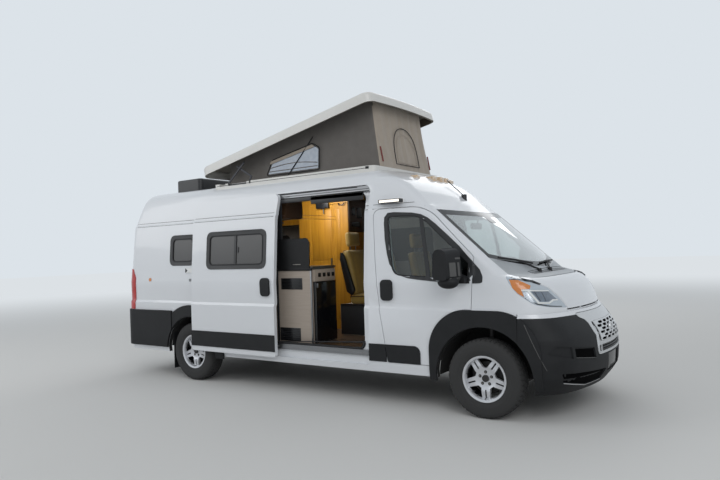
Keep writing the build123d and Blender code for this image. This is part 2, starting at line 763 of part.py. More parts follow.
for name, side in both_sides:
    if side > 0:
        low_y, high_y, radii = 0, rear_door_half, [8, 30, 110, 8]
        pane_low, pane_high = 130, 650
    else:
        low_y, high_y, radii = -rear_door_half, 0, [30, 8, 8, 110]
        pane_low, pane_high = -650, -130
    pane_radii = [60, 60, 60, 60]
    with BuildPart() as rear_door:
        add(tail_shell)
        add(rear_prism(low_y, high_y, rear_door_bottom, rear_door_top, radii, -door_gap / 2), mode=Mode.INTERSECT)
        add(
            rear_prism(pane_low, pane_high, rear_window_low, rear_window_high, pane_radii), mode=Mode.SUBTRACT
        )
        add(meeting_gap, mode=Mode.SUBTRACT)
        for level, face_x in rear_hinges:
            add(hinge_leaf(level, face_x, side))
    keep("rear_door_" + name, rear_door)
    with BuildPart() as rear_glass:
        add(glass_shell)
        add(
            rear_prism(pane_low, pane_high, rear_window_low, rear_window_high, pane_radii, -glass_gap),
            mode=Mode.INTERSECT,
        )
    keep("rear_glass_" + name, rear_glass)

# Tail lamps: upright strips round the rear corners, pointed at the top of their front edge
tail_lamp_outline = [(-5500, 902), (-5187, 902), (-5180, 1330), (-5245, 1460), (-5500, 1460)]
tail_lamp_inner = 850.0
with BuildPart() as tail_lamps:
    for name, side in both_sides:
        with BuildPart(mode=Mode.PRIVATE) as tail_lamp:
            add(band_shell)
            strip = side_prism(tail_lamp_outline, [5, 5, 60, 40, 5], side, tail_lamp_inner, side_reach)
            add(strip, mode=Mode.INTERSECT)
        add(tail_lamp.part)
keep("tail_lamps", tail_lamps)

# Rear bumper: corners up to the lamps, a low step under the doors
rear_bumper_depth = 30.0
rear_bumper_low = 410.0
rear_bumper_high = 898.0
with BuildPart() as rear_bumper:
    add(body_form(-rear_bumper_depth, top=1500) - low_form)
    add(block(-5500, -4394, -1200, 1200, rear_bumper_low, rear_bumper_high), mode=Mode.INTERSECT)
    add(block(-5500, -5200, -rear_hinge_y - 35, rear_hinge_y + 35, rear_door_bottom - 12, 1000), mode=Mode.SUBTRACT)
    for name, side in both_sides:
        add(arch_cutter(rear_axle_offset, rear_arch_radius, side, 600), mode=Mode.SUBTRACT)
keep("rear_bumper", rear_bumper)

# Front bumper
# columns: height, nose x, half width, corner half width, corner radius
bumper_rows = [
    (262, 830, 985, 960, 380),
    (330, 885, 1000, 985, 400),
    (410, 938, 1010, 1000, 400),
    (540, front_overhang, 1016, 1010, 400),
    (750, 930, 1016, 1010, 390),
    (860, 866, 1014, 1006, 370),
    (930, 812, 1010, 1000, 350),
    (bumper_top, 768, 1006, 996, 330),
]
bumper_bow = 2100.0
bumper_wall = 26.0
flare_step = 9.0


def bumper_form(inset, rise):
    with BuildPart() as form:
        for height, nose, half, corner, radius in bumper_rows:
            level = height + rise if height in (bumper_rows[0][0], bumper_rows[-1][0]) else height
            if height == bumper_rows[0][0]:
                level = height - rise
            corner_x = nose - (bumper_bow - sqrt(bumper_bow ** 2 - corner ** 2)) - inset
            with BuildSketch(Plane.XY.offset(level)) as section:
                with BuildLine():
                    ThreePointArc(
                        (front_axle + corner_x, -corner + inset),
                        (front_axle + nose - inset, 0),
                        (front_axle + corner_x, corner - inset),
                    )
                    Polyline(
                        (front_axle + corner_x, corner - inset),
                        (front_axle + 0, half - inset),
                        (front_axle + 0, -half + inset),
                        (front_axle + corner_x, -corner + inset),
                    )
                make_face()
                fillet(section.vertices().sort_by(Axis.X)[-2:], radius - inset)
        loft(ruled=True)
    return form.part


grille_low = 690.0
grille_high = 872.0
grille_half = 372.0
grille_frame = 52.0
with BuildPart() as grille_hole:
    with BuildSketch(front_plane.offset(front_axle + 500)):
        with BuildLine():
            FilletPolyline(
                (-grille_half - 50, grille_low - 122), (grille_half + 50, grille_low - 122),
                (grille_half + 62, grille_high + 20), (590, 962), (-590, 962), (-grille_half - 62, grille_high + 20),
                radius=[30, 30, 60, 20, 20, 60], close=True,
            )
        make_face()
    extrude(amount=700)
# Recesses beside the grille, drawn from the front: y, height; each is split by a divider
side_recess = [(-935, 702), (-485, 648), (-470, 544), (-806, 586), (-978, 633)]
recess_divider = [(-812, 720), (-784, 720), (-774, 560), (-802, 560)]
low_recess = [(-905, 467), (-260, 425), (-260, 322), (-556, 318), (-878, 377)]
plate_recess = [(-196, 385), (196, 385), (196, 556), (-196, 556)]
recess_wall = 12.0
with BuildPart() as recess_cutter:
    for side in (1, -1):
        with BuildSketch(front_plane.offset(front_axle + 380)):
            for outline, radius in ((side_recess, 14), (low_recess, 14)):
                with BuildLine():
                    FilletPolyline(*[(-side * y, z) for y, z in outline], radius=radius, close=True)
                make_face()
            with BuildLine():
                Polyline(*[(-side * y, z) for y, z in recess_divider], close=True)
            make_face(mode=Mode.SUBTRACT)
        extrude(amount=620)
    with BuildSketch(front_plane.offset(front_axle + 380)):
        with BuildLine():
            FilletPolyline(*plate_recess, radius=12, close=True)
        make_face()
    extrude(amount=620)
    add(bumper_form(recess_wall, 0.0), mode=Mode.SUBTRACT)
both_flares = flare_prism(1) + flare_prism(-1)
with BuildPart() as flare_pad:
    add(bumper_form(-flare_step, 0.0))
    add(both_flares, mode=Mode.INTERSECT)
with BuildPart() as front_bumper:
    add(bumper_form(0.0, 0.0))
    add(recess_cutter.part, mode=Mode.SUBTRACT)
    add(flare_pad.part)
    add(bumper_form(bumper_wall, 20.0), mode=Mode.SUBTRACT)
    add(block(bumper_seam, 1000, -1200, 1200, 0, 1200), mode=Mode.INTERSECT)
    add(grille_hole.part, mode=Mode.SUBTRACT)
    for name, side in both_sides:
        add(arch_cutter(0, arch_radius, side, 500), mode=Mode.SUBTRACT)
keep("front_bumper", front_bumper)

# Grille: bright frame with a black lattice behind it, low slots under it
lattice_bars = 8
lattice_bar = 9.0
with BuildPart() as grille:
    with BuildSketch(front_plane.offset(front_axle + 820)):
        with BuildLine():
            FilletPolyline(
                (-grille_half - 46, grille_low - 118), (grille_half + 46, grille_low - 118),
                (grille_half + 58, grille_high + 20), (584, 958), (-584, 958), (-grille_half - 58, grille_high + 20),
                radius=[30, 30, 60, 20, 20, 60], close=True,
            )
        make_face()
        with BuildLine():
            FilletPolyline(
                (-grille_half - 10, grille_low), (grille_half + 10, grille_low),
                (grille_half, grille_high), (-grille_half, grille_high), radius=[25, 25, 25, 25], close=True,
            )
        make_face(mode=Mode.SUBTRACT)
        with BuildLine():
            FilletPolyline(
                (-grille_half - 20, grille_low - 96), (grille_half + 20, grille_low - 96),
                (grille_half + 14, grille_low - 36), (-grille_half - 14, grille_low - 36), radius=[12, 12, 12, 12],
                close=True,
            )
        make_face(mode=Mode.SUBTRACT)
    extrude(amount=-300, both=True)
    with BuildSketch(front_plane.offset(front_axle + 820)):
        with Locations((0, (grille_low + grille_high) / 2)):
            with GridLocations(2 * grille_half / lattice_bars, 0, lattice_bars + 5, 1):
                Rectangle(lattice_bar, 320, rotation=38)
                Rectangle(lattice_bar, 320, rotation=-38)
        with Locations((0, (grille_low + grille_high) / 2)):
            Rectangle(2 * grille_half + 16, grille_high - grille_low + 6, mode=Mode.INTERSECT)
    extrude(amount=-300, both=True)
    add(bumper_form(-2.0, 0.0), mode=Mode.INTERSECT)
    add(bumper_form(20.0, 20.0), mode=Mode.SUBTRACT)
keep("grille", grille)

# Pop-top: base frame on the roof, lid on a virtual hinge behind it, tent between them
pop_tilt = 12.1
lid_rear = -4040.0
lid_front = -1195.0
lid_bow = 35.0
lid_half = 785.0
lid_height = 120.0
lid_skin = 24.0
lid_rim = 24.0
frame_top = 2540.0
lid_closed = frame_top + 6.0
pop_hinge_x = -4585.0
pop_hinge_z = 2550.0
frame_half = 765.0
frame_front = -1285.0
frame_rear = -3810.0
crest_half = 585.0
crest_profile = [(-1284, 2440), (-1284, 2572), (-1262, 2577), (-1246, 2541), (-1150, 2508), (-985, 2440)]
notch_inner = 695.0
notch_floor = 2505.0
notch_rear = -3700.0
notch_front = -3140.0
# places of the linkage: x from the front axle, height
arm_foot = (-3608.0, 2524.0)
arm_head = (-3296.0, 2790.0)
link_foot = (-3231.0, 2524.0)
link_knee = (-3179.0, 2602.0)
link_head = (-3430.0, 2752.0)
linkage_pin = 6.0
arm_width = 8.0
arm_depth = 24.0
ear_inner = 717.3
ear_thickness = 8.0
arm_y = ear_inner - seat_gap - arm_width / 2
link_y = arm_y - arm_width - 0.5
with BuildPart() as pop_top_frame:
    add(block(frame_rear, frame_front, -frame_half, frame_half, 2420, frame_top))
    fillet(pop_top_frame.edges().filter_by(Axis.Z), 60)
    add(block(pop_hole_rear, pop_hole_front, -pop_hole_half, pop_hole_half, 2300, 2600), mode=Mode.SUBTRACT)
    for side in (1, -1):
        notch_in, notch_out = side * notch_inner, side * 900
        add(
            block(notch_rear, notch_front, min(notch_in, notch_out), max(notch_in, notch_out), notch_floor, 2700),
            mode=Mode.SUBTRACT,
        )
        for foot_x, foot_z in (arm_foot, link_foot):
            ear_in, ear_out = side * ear_inner, side * (ear_inner + ear_thickness)
            add(block(foot_x - 22, foot_x + 22, min(ear_in, ear_out), max(ear_in, ear_out), 2470, foot_z + 20))
            pin_in = side * (ear_inner - seat_gap - 2 * arm_width - 1)
            add(cross_rod(foot_x, foot_z, linkage_pin, min(pin_in, ear_in), max(pin_in, ear_in)))
    with BuildPart(mode=Mode.PRIVATE) as crest:
        with BuildSketch(Plane.XZ.offset(-crest_half)):
            with BuildLine():
                Polyline(*at_front(crest_profile), close=True)
            make_face()
        extrude(amount=2 * crest_half)
    add(crest.part)
    add(outer_form, mode=Mode.SUBTRACT)
    for sliver in pop_top_frame.solids().sort_by(SortBy.VOLUME)[:-1]:
        add(sliver, mode=Mode.SUBTRACT)
keep("pop_top_frame", pop_top_frame)


def lid_outline(inset):
    """The lid's plan: bowed front edge, rounded corners."""
    half = lid_half - inset
    with BuildSketch(Plane.XY.offset(lid_closed)) as plan:
        with BuildLine():
            ThreePointArc(
                (front_axle + lid_front - lid_bow - inset, -half), (front_axle + lid_front - inset, 0),
                (front_axle + lid_front - lid_bow - inset, half),
            )
            Polyline(
                (front_axle + lid_front - lid_bow - inset, half), (front_axle + lid_rear + inset, half),
                (front_axle + lid_rear + inset, -half), (front_axle + lid_front - lid_bow - inset, -half),
            )
        make_face()
        corners = plan.vertices().sort_by(Axis.X)
        fillet(corners[-2:], 110 - inset)
        corners = plan.vertices().sort_by(Axis.X)
        fillet(corners[:2], 170 - inset)
    return plan.sketch


with BuildPart() as closed_lid:
    add(lid_outline(0.0))
    extrude(amount=lid_height)
    fillet(closed_lid.faces().sort_by(Axis.Z)[-1].edges(), 40)
    add(lid_outline(lid_rim))
    extrude(amount=lid_height - lid_skin, mode=Mode.SUBTRACT)
pop_hinge = Axis((front_axle + pop_hinge_x, 0, pop_hinge_z), (0, 1, 0))
with BuildPart() as pop_top_lid:
    add(closed_lid.part.rotate(pop_hinge, -pop_tilt))
keep("pop_top_lid", pop_top_lid)

# Tent: a closed fabric wall from the frame up to the lid's inner ceiling
tent_half_low = 598.0
tent_half_high = 553.0
tent_front_low = -1286.0
tent_front_high = -1405.0
tent_rear = -3740.0
tent_wall = 8.0


def lid_underside(x, height=0.0):
    """Height of the raised lid's lower face (or of a level above it) at x from the front axle."""
    slope = tan(radians(pop_tilt))
    return pop_hinge_z + (x - pop_hinge_x) * slope + (lid_closed - pop_hinge_z + height) / cos(radians(pop_tilt))


def tent_form(inset, low, high):
    with BuildPart() as form:
        with BuildSketch(Plane.XY.offset(frame_top + low)):
            with Locations((front_axle + (tent_front_low + tent_rear) / 2, 0)):
                RectangleRounded(tent_front_low - tent_rear - 2 * inset, 2 * (tent_half_low - inset), 70 - inset)
        slope = radians(pop_tilt)
        middle = (tent_front_high + tent_rear) / 2
        top = Plane(
            origin=(front_axle + middle, 0, lid_underside(middle) + high),
            x_dir=(cos(slope), 0, sin(slope)), z_dir=(-sin(slope), 0, cos(slope)),
        )
        with BuildSketch(top):
            RectangleRounded(
                (tent_front_high - tent_rear) / cos(slope) - 2 * inset, 2 * (tent_half_high - inset), 70 - inset
            )
        loft(ruled=True)
    return form.part


with BuildPart() as tent:
    tent_top = (lid_height - lid_skin - seat_gap) / cos(radians(pop_tilt))
    add(tent_form(0.0, seat_gap, tent_top))
    add(tent_form(tent_wall, -5.0, tent_top + 10), mode=Mode.SUBTRACT)
keep("tent", tent)

# Lift linkage: a straight arm and a cranked link on each side, their upper eyes stand open
def flat_bar(points, y, thickness, depth):
    """A flat bar along points (x, z) with rounded ends, standing upright beside the tent."""
    with BuildPart() as bar:
        with BuildSketch(Plane.XZ.offset(-y - thickness / 2)):
            for start, end in zip(points[:-1], points[1:]):
                with BuildLine():
                    Line(*at_front([start, end]))
                trace(line_width=depth)
            with Locations(*at_front(points)):
                Circle(depth / 2)
            with Locations(at_front(points)[0]):
                Circle(linkage_pin + pin_gap, mode=Mode.SUBTRACT)
        extrude(amount=thickness)
    return bar.part


with BuildPart() as lift_arms:
    for name, side in both_sides:
        add(flat_bar([arm_foot, arm_head], side * arm_y, arm_width, arm_depth))
keep("lift_arms", lift_arms)
with BuildPart() as lift_links:
    for name, side in both_sides:
        add(flat_bar([link_foot, link_knee, link_head], side * link_y, arm_width, arm_depth))
keep("lift_links", lift_links)

# Roof air conditioner behind the lid
with BuildPart() as roof_air_conditioner:
    add(block(-4980, -4460, -420, 420, 2500, 2725))
    fillet(roof_air_conditioner.edges().filter_by(Axis.Z), 60)
    fillet(roof_air_conditioner.faces().sort_by(Axis.Z)[-1].edges(), 25)
    add(outer_form, mode=Mode.SUBTRACT)
keep("roof_air_conditioner", roof_air_conditioner)

# Roof lamps: five marker lamps, the porch lamp and the aerial
marker_spots = [(-905, 0), (-918, 150), (-918, -150), (-985, 420), (-985, -420)]
with BuildPart() as roof_lamps:
    for x, y in marker_spots:
        add(soft_block(x - 60, x + 60, y - 38, y + 38, 2330, 2425, 14))
    add(block(-1107, -867, -970, -900, 2098, 2128))
    add(upright_rod(-560, -60, 30, 2100, 2196))
    add(rod_between((-560, -60, 2180), (-760, -60, 2370), 5))
    add(outer_form, mode=Mode.SUBTRACT)
keep("roof_lamps", roof_lamps)

# Wipers: each blade lies along the windscreen's foot, its arm comes from a pivot in the cowl
wiper_paths = [
    # outer and inner end of the blade, pivot of the arm
    ((95, -770, 1500), (268, -300, 1427), (352, -330, 1335)),
    ((285, -130, 1425), (248, 400, 1437), (372, -60, 1335)),
]
blade_radius = 9.0
blade_bulge = (4, 0, 6)
pivot_radius = 20.0
pivot_height = 40.0
with BuildPart() as wipers:
    for outer_end, inner_end, pivot in wiper_paths:
        middle = tuple((a + b) / 2 + lift for a, b, lift in zip(outer_end, inner_end, blade_bulge))
        foot_x, foot_y, foot_z = pivot
        add(rod_between(outer_end, middle, blade_radius))
        add(rod_between(middle, inner_end, blade_radius))
        add(rod_between(pivot, (foot_x - 8, foot_y, foot_z + pivot_height), pivot_radius))
        add(rod_between((foot_x - 6, foot_y, foot_z + pivot_height - 8), middle, blade_radius))
    add(outer_form, mode=Mode.SUBTRACT)
    for sliver in wipers.solids().sort_by(SortBy.VOLUME)[:-2]:
        add(sliver, mode=Mode.SUBTRACT)
keep("wipers", wipers)

# Tyres and wheels, built once about their own centre with the axle along local Z
spoke_pairs = 5
rim_half_width = 84.0
flange_radius = 218.0
hub_bore = 33.0
with BuildPart() as tyre_form:
    with BuildSketch(Plane.XZ):
        with BuildLine():
            half = tyre_width / 2
            bead = rim_half_width - 8.4
            wall_profile = [
                (rim_seat_radius + seat_gap, bead), (flange_radius + 1.5, bead + 8),
                (flange_radius + 1.5, rim_half_width + 8.6), (250, half - 4), (312, half), (358, half - 19),
                (tyre_radius, half - 36),
            ]
            mirrored = [(radius, -width) for radius, width in reversed(wall_profile)]
            Polyline(*wall_profile, *mirrored, close=True)
        make_face()
    revolve(axis=Axis.Z)
with BuildPart() as wheel_form:
    with BuildSketch(Plane.XZ):
        with BuildLine():
            Polyline(
                (190, -rim_half_width), (flange_radius, -rim_half_width - 8), (flange_radius, -rim_half_width),
                (rim_seat_radius, -rim_half_width + 8), (rim_seat_radius, rim_half_width - 8),
                (flange_radius, rim_half_width), (flange_radius, rim_half_width + 8), (198, rim_half_width + 4),
                (190, rim_half_width - 12), (190, 52), (120, 60), (76, 46), (hub_bore + pin_gap, 46),
                (hub_bore + pin_gap, 26), (110, 26), (190, 20), close=True,
            )
        make_face()
    revolve(axis=Axis.Z)
    with BuildSketch(Plane.XY.offset(0)):
        with PolarLocations(0, spoke_pairs, start_angle=90 + 36):
            Polygon((100, -18), (172, -76), (189, -28), (189, 28), (172, 76), (100, 18), align=None)
        with PolarLocations(0, spoke_pairs, start_angle=90):
            with Locations((146, 0)):
                Rectangle(78, 15)
    extrude(amount=70, mode=Mode.SUBTRACT)

steer_axis_y = 760.0
front_wheel_y = front_track / 2
rear_wheel_y = rear_track / 2
corners = [
    # name, x of the axle, side, distance of the wheel's middle from the centre line
    ("front_left", front_axle, 1, front_wheel_y),
    ("front_right", front_axle, -1, front_wheel_y),
    ("rear_left", rear_axle, 1, rear_wheel_y),
    ("rear_right", rear_axle, -1, rear_wheel_y),
]
for name, axle_x, side, wheel_y in corners:
    hub = Plane(origin=(axle_x, side * wheel_y, tyre_radius), x_dir=(side, 0, 0), z_dir=(0, side, 0))
    with BuildPart() as tyre:
        add(hub.location * tyre_form.part)
    keep("tyre_" + name, tyre)
    with BuildPart() as wheel:
        add(hub.location * wheel_form.part)
    keep("wheel_" + name, wheel)

# Steering knuckles with brake discs and struts
disc_radius = 150.0
strut_top = 925.0
hub_face = 25.7
arm_top = 252.0
for name, side in both_sides:
    axle = Plane(origin=(front_axle, side * steer_axis_y, tyre_radius), x_dir=(side, 0, 0), z_dir=(0, side, 0))
    with BuildPart() as knuckle:
        add(upright_rod(0, side * steer_axis_y, 24, arm_top + seat_gap, strut_top))
        add(upright_rod(0, side * steer_axis_y, 62, strut_top - 14, strut_top))
        with BuildSketch(axle):
            Circle(58)
        extrude(amount=70)
        with BuildSketch(axle.offset(70)):
            Circle(disc_radius)
        extrude(amount=22)
        with BuildSketch(axle.offset(92)):
            Circle(68)
        extrude(amount=front_wheel_y - steer_axis_y - 92 + hub_face)
        with BuildSketch(axle.offset(92)):
            Circle(hub_bore)
        extrude(amount=front_wheel_y - steer_axis_y - 92 + 60)
        hub_low = min(side * 815, side * 872)
        hub_high = max(side * 815, side * 872)
        add(block(-168, -96, hub_low, hub_high, tyre_radius - 60, tyre_radius + 60))
        arm_low = min(side * 790, side * 830)
        arm_high = max(side * 790, side * 830)
        add(block(-120, 0, arm_low, arm_high, tyre_radius - 22, tyre_radius + 22))
    keep("knuckle_" + name, knuckle)

# Front subframe with lower arms, anti-roll bar and strut springs' towers
with BuildPart() as front_subframe:
    add(block(-190, 190, -480, 480, 235, 300))
    add(block(330, 400, -480, 480, 330, 420))
    add(block(-190, 400, -480, -410, 300, 420))
    add(block(-190, 400, 410, 480, 300, 420))
    for name, side in both_sides:
        lower_arm = sorted((side * 380, side * (steer_axis_y + 30)))
        add(block(-45, 45, *lower_arm, 226, arm_top))
keep("front_subframe", front_subframe)

# Rear axle beam with hubs, drums and leaf springs
with BuildPart() as rear_axle_beam:
    add(cross_rod(rear_axle_offset, tyre_radius - 20, 42, -800, 800))
    for name, side in both_sides:
        axle = Plane(origin=(rear_axle, side * 780, tyre_radius), x_dir=(side, 0, 0), z_dir=(0, side, 0))
        with BuildSketch(axle):
            Circle(75)
        extrude(amount=20)
        with BuildSketch(axle.offset(20)):
            Circle(140)
        extrude(amount=60)
        with BuildSketch(axle.offset(80)):
            Circle(68)
        extrude(amount=rear_wheel_y - 860 + hub_face)
        with BuildSketch(axle.offset(80)):
            Circle(hub_bore)
        extrude(amount=rear_wheel_y - 860 + 60)
        spring_y = side * 560
        with BuildPart(mode=Mode.PRIVATE) as spring:
            with BuildSketch(Plane.XZ.offset(-spring_y - 35)):
                with BuildLine():
                    ThreePointArc((rear_axle - 720, 430), (rear_axle, 290), (rear_axle + 720, 430))
                    Line((rear_axle + 720, 430), (rear_axle + 720, 452))
                    ThreePointArc((rear_axle + 720, 452), (rear_axle, 325), (rear_axle - 720, 452))
                    Line((rear_axle - 720, 452), (rear_axle - 720, 430))
                make_face()
            extrude(amount=70)
        add(spring.part)
keep("rear_axle", rear_axle_beam)

# Chassis rails and cross members under the floor
rail_half = 40.0
rail_low = 400.0
with BuildPart() as chassis_rails:
    for side in (1, -1):
        y = side * 640
        add(block(-5300, -560, y - rail_half, y + rail_half, rail_low + 52, floor_bottom))
        for hanger in (rear_axle_offset - 740, rear_axle_offset + 740):
            inner, outer = side * 525, side * 610
            add(block(hanger - 20 + 0.3, hanger + 20 - 0.3, min(inner, outer), max(inner, outer), 415, floor_bottom))
    for x in (-5250, -3180, -2400, -1500, -700):
        add(block(x - 35, x + 35, -610, 610, rail_low + 52, floor_bottom))
keep("chassis_rails", chassis_rails)

# Engine and radiator as plain blocks at their real place
with BuildPart() as engine_and_radiator:
    add(block(120, 560, -330, 330, 430, 940))
    add(block(-60, 120, -280, 280, 300 + seat_gap, 495))
    add(block(640, 690, -360, 360, 330, 900))
    add(block(560, 640, -30, 30, 430, 500))
keep("engine_and_radiator", engine_and_radiator)

# Floor pan with wheelhouses and firewall
floor_half = 1022.0 - wall - seat_gap
wheelhouse_inner = 735.0
firewall_x = 60.0
front_house_inner = 565.0
tower_radius = 78.0
front_liner_bottom = 365.0
rear_liner_bottom = 420.0
aisle_board = 4.0


def wheelhouse(x, radius, inner_y, outer_y, side, bottom):
    """The upper part of a wheelhouse: a round cover with a wall on its inner side, down to its bottom edge."""
    with BuildPart() as house:
        with BuildSketch(Plane.XZ.offset(-side * (inner_y - wheelhouse_skin))):
            with Locations((front_axle + x, arch_centre_height)):
                Circle(radius + wheelhouse_skin)
        extrude(amount=-side * (outer_y - inner_y + wheelhouse_skin))
        with BuildSketch(Plane.XZ.offset(-side * inner_y)):
            with Locations((front_axle + x, arch_centre_height)):
                Circle(radius)
        extrude(amount=-side * (outer_y - inner_y + 10), mode=Mode.SUBTRACT)
        add(block(x - 700, x + 700, -1100, 1100, bottom, 1100), mode=Mode.INTERSECT)
    return house.part


with BuildPart() as floor_pan:
    add(block(-5325, -560, -floor_half, floor_half, floor_bottom, floor_top))
    add(block(-3440, -1540, -470, -140, floor_top, floor_top + aisle_board))
    add(block(-560, firewall_x + 20, -front_house_inner, front_house_inner, floor_bottom, floor_top))
    add(block(firewall_x, firewall_x + 20, -front_house_inner, front_house_inner, floor_top, 1300))
    add(block(firewall_x, firewall_x + 20, -930, 930, 880, 1300))
    for name, side in both_sides:
        add(arch_cutter(rear_axle_offset, rear_arch_radius, side, wheelhouse_inner), mode=Mode.SUBTRACT)
        add(arch_cutter(0, arch_radius, side, front_house_inner), mode=Mode.SUBTRACT)
    for name, side in both_sides:
        add(wheelhouse(rear_axle_offset, rear_arch_radius, wheelhouse_inner, 960, side, rear_liner_bottom))
        add(wheelhouse(0, arch_radius, front_house_inner, 925, side, front_liner_bottom))
        tower_top = strut_top + seat_gap + wheelhouse_skin
        add(upright_rod(0, side * steer_axis_y, tower_radius + wheelhouse_skin, 850, tower_top))
        add(upright_rod(0, side * steer_axis_y, tower_radius, 700, strut_top + seat_gap), mode=Mode.SUBTRACT)
    add(inner_form, mode=Mode.INTERSECT)
keep("floor_pan", floor_pan)

# Dashboard with the steering wheel
dash_back = firewall_x - seat_gap
dash_profile = [
    (dash_back, 945), (dash_back, 1330), (-80, 1400), (-330, 1390), (-400, 1290), (-330, 1010), (-200, 945),
]
with BuildPart() as dashboard:
    with BuildSketch(Plane.XZ.offset(-880)):
        with BuildLine():
            FilletPolyline(*at_front(dash_profile), radius=[10, 60, 80, 60, 60, 60, 40], close=True)
        make_face()
    extrude(amount=1760)
    add(inner_form, mode=Mode.INTERSECT)
    with BuildPart(mode=Mode.PRIVATE) as column:
        add(rod_between((-330, 450, 1180), (-560, 450, 1330), 30))
    add(column.part)
    steering = Plane(origin=(front_axle - 570, 450, 1337), z_dir=(-0.62, 0, 0.78))
    with BuildPart(mode=Mode.PRIVATE) as steering_wheel:
        rim_plane = Plane(origin=steering.origin + steering.x_dir * 195, x_dir=steering.x_dir, z_dir=steering.y_dir)
        with BuildSketch(rim_plane):
            Circle(14)
        revolve(axis=Axis(steering.origin, steering.z_dir))
        with BuildSketch(steering.offset(-12)):
            Circle(62)
            Rectangle(380, 26)
        extrude(amount=20)
    add(steering_wheel.part)
keep("dashboard", dashboard)


def padded_profile(points, radii, y, width):
    """A seat pad of even width: its outline seen from the side, with rounded corners."""
    with BuildPart() as pad:
        with BuildSketch(Plane.XZ.offset(-y - width / 2)):
            with BuildLine():
                FilletPolyline(*at_front(points), radius=radii, close=True)
            make_face()
        extrude(amount=width)
    return pad.part


def seat(x, y, base, width=480.0, length=520.0):
    """A seat with cushion, back and headrest; x is the cushion's rear edge from the front axle."""
    cushion = [(0, 0), (length, 0), (length, 140), (0, 120)]
    back = [(10, 100), (130, 100), (10, 690), (-110, 680)]
    headrest = [(-115, 720), (-25, 720), (-35, 900), (-115, 895)]
    with BuildPart() as body:
        for outline, radii, pad_width in (
            (cushion, [20, 40, 60, 20], width), (back, [40, 20, 50, 50], width), (headrest, [30, 30, 40, 40], 260),
        ):
            add(padded_profile([(x + a, base + b) for a, b in outline], radii, y, pad_width))
        for stem in (-60, 60):
            add(upright_rod(x - 68, y + stem, 8, base + 600, base + 760))
    return body.part


cab_seat_y = 450.0
with BuildPart() as cab_seats:
    for side in (1, -1):
        add(block(-1330, -960, side * cab_seat_y - 190, side * cab_seat_y + 190, floor_top, 900))
        add(seat(-1400, side * cab_seat_y, 900))
keep("cab_seats", cab_seats)

bench_low = -130.0
bench_high = 900.0
bench_base = 950.0
bench_rear = -2160.0
with BuildPart() as bench_seats:
    add(block(bench_rear - 115, bench_rear + 425, bench_low, bench_high, floor_top, bench_base))
    add(seat(bench_rear, 130, bench_base, 470, length=450))
    add(seat(bench_rear, 640, bench_base, 470, length=450))
keep("bench_seats", bench_seats)

# Galley at the doorway's rear half, with the refrigerator in its end
galley_front = -2075.0
galley_rear = -3250.0
galley_outer = -925.0
galley_inner = -500.0
galley_top = 1420.0
with BuildPart() as galley:
    add(block(galley_rear, galley_front, galley_outer, galley_inner, floor_top, galley_top))
    add(block(galley_rear - 10, galley_front + 12, galley_outer, galley_inner + 15, galley_top, galley_top + 30))
    with BuildPart(mode=Mode.PRIVATE) as splash:
        with BuildSketch(Plane.XZ.offset(-galley_outer + seat_gap)):
            with BuildLine():
                FilletPolyline(
                    *at_front([(-2600, 1425), (-2100, 1425), (-2085, 1775), (-2600, 1775)]),
                    radius=[5, 5, 70, 5], close=True,
                )
            make_face()
        extrude(amount=12)
    add(splash.part)
    add(block(galley_front + seat_gap, galley_front + 30, galley_outer + 20, galley_inner - 15, floor_top + 20, 1270))
keep("galley", galley)

# Wash room block on the left with wood doors, full height
with BuildPart() as wash_room:
    add(block(-3300, -2450, 350, 1000, floor_top, 2420))
    add(inner_form, mode=Mode.INTERSECT)
    add(block(-3270, -2480, 385, 880, floor_top + 30, 2380), mode=Mode.SUBTRACT)
    add(block(-3100, -2560, 300, 400, floor_top + 60, 2260), mode=Mode.SUBTRACT)
    add(block(-3100 + seat_gap, -2700, 352, 372, floor_top + 60 + seat_gap, 2257))
    add(block(-2697, -2560 - seat_gap, 352, 372, floor_top + 60 + seat_gap, 2257))
keep("wash_room", wash_room)

# Overhead lockers along both sides at the back
with BuildPart() as overhead_lockers:
    add(block(-5250, -2230, -1000, -560, 2020, 2400))
    add(block(-5250, -3320, 560, 1000, 2020, 2400))
    add(inner_form, mode=Mode.INTERSECT)
keep("overhead_lockers", overhead_lockers)

# Bed across the back
with BuildPart() as bed:
    add(block(-5280, -3450, -900, 900, 1010, 1040))
    for side in (1, -1):
        add(block(-5280, -4560, side * 640 - 240, side * 640 + 240, floor_top, 1010))
    add(soft_block(-5270, -3470, -890, 890, 1040, 1180, 40))
keep("bed", bed)
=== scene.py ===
import json
from functools import lru_cache
from math import atan2, cos, exp, pi, radians, sin, sqrt

import bmesh
import bpy
import numpy
from bpy.props import FloatProperty, FloatVectorProperty, IntProperty, PointerProperty
from mathutils import Matrix, Vector
from mathutils.bvhtree import BVHTree


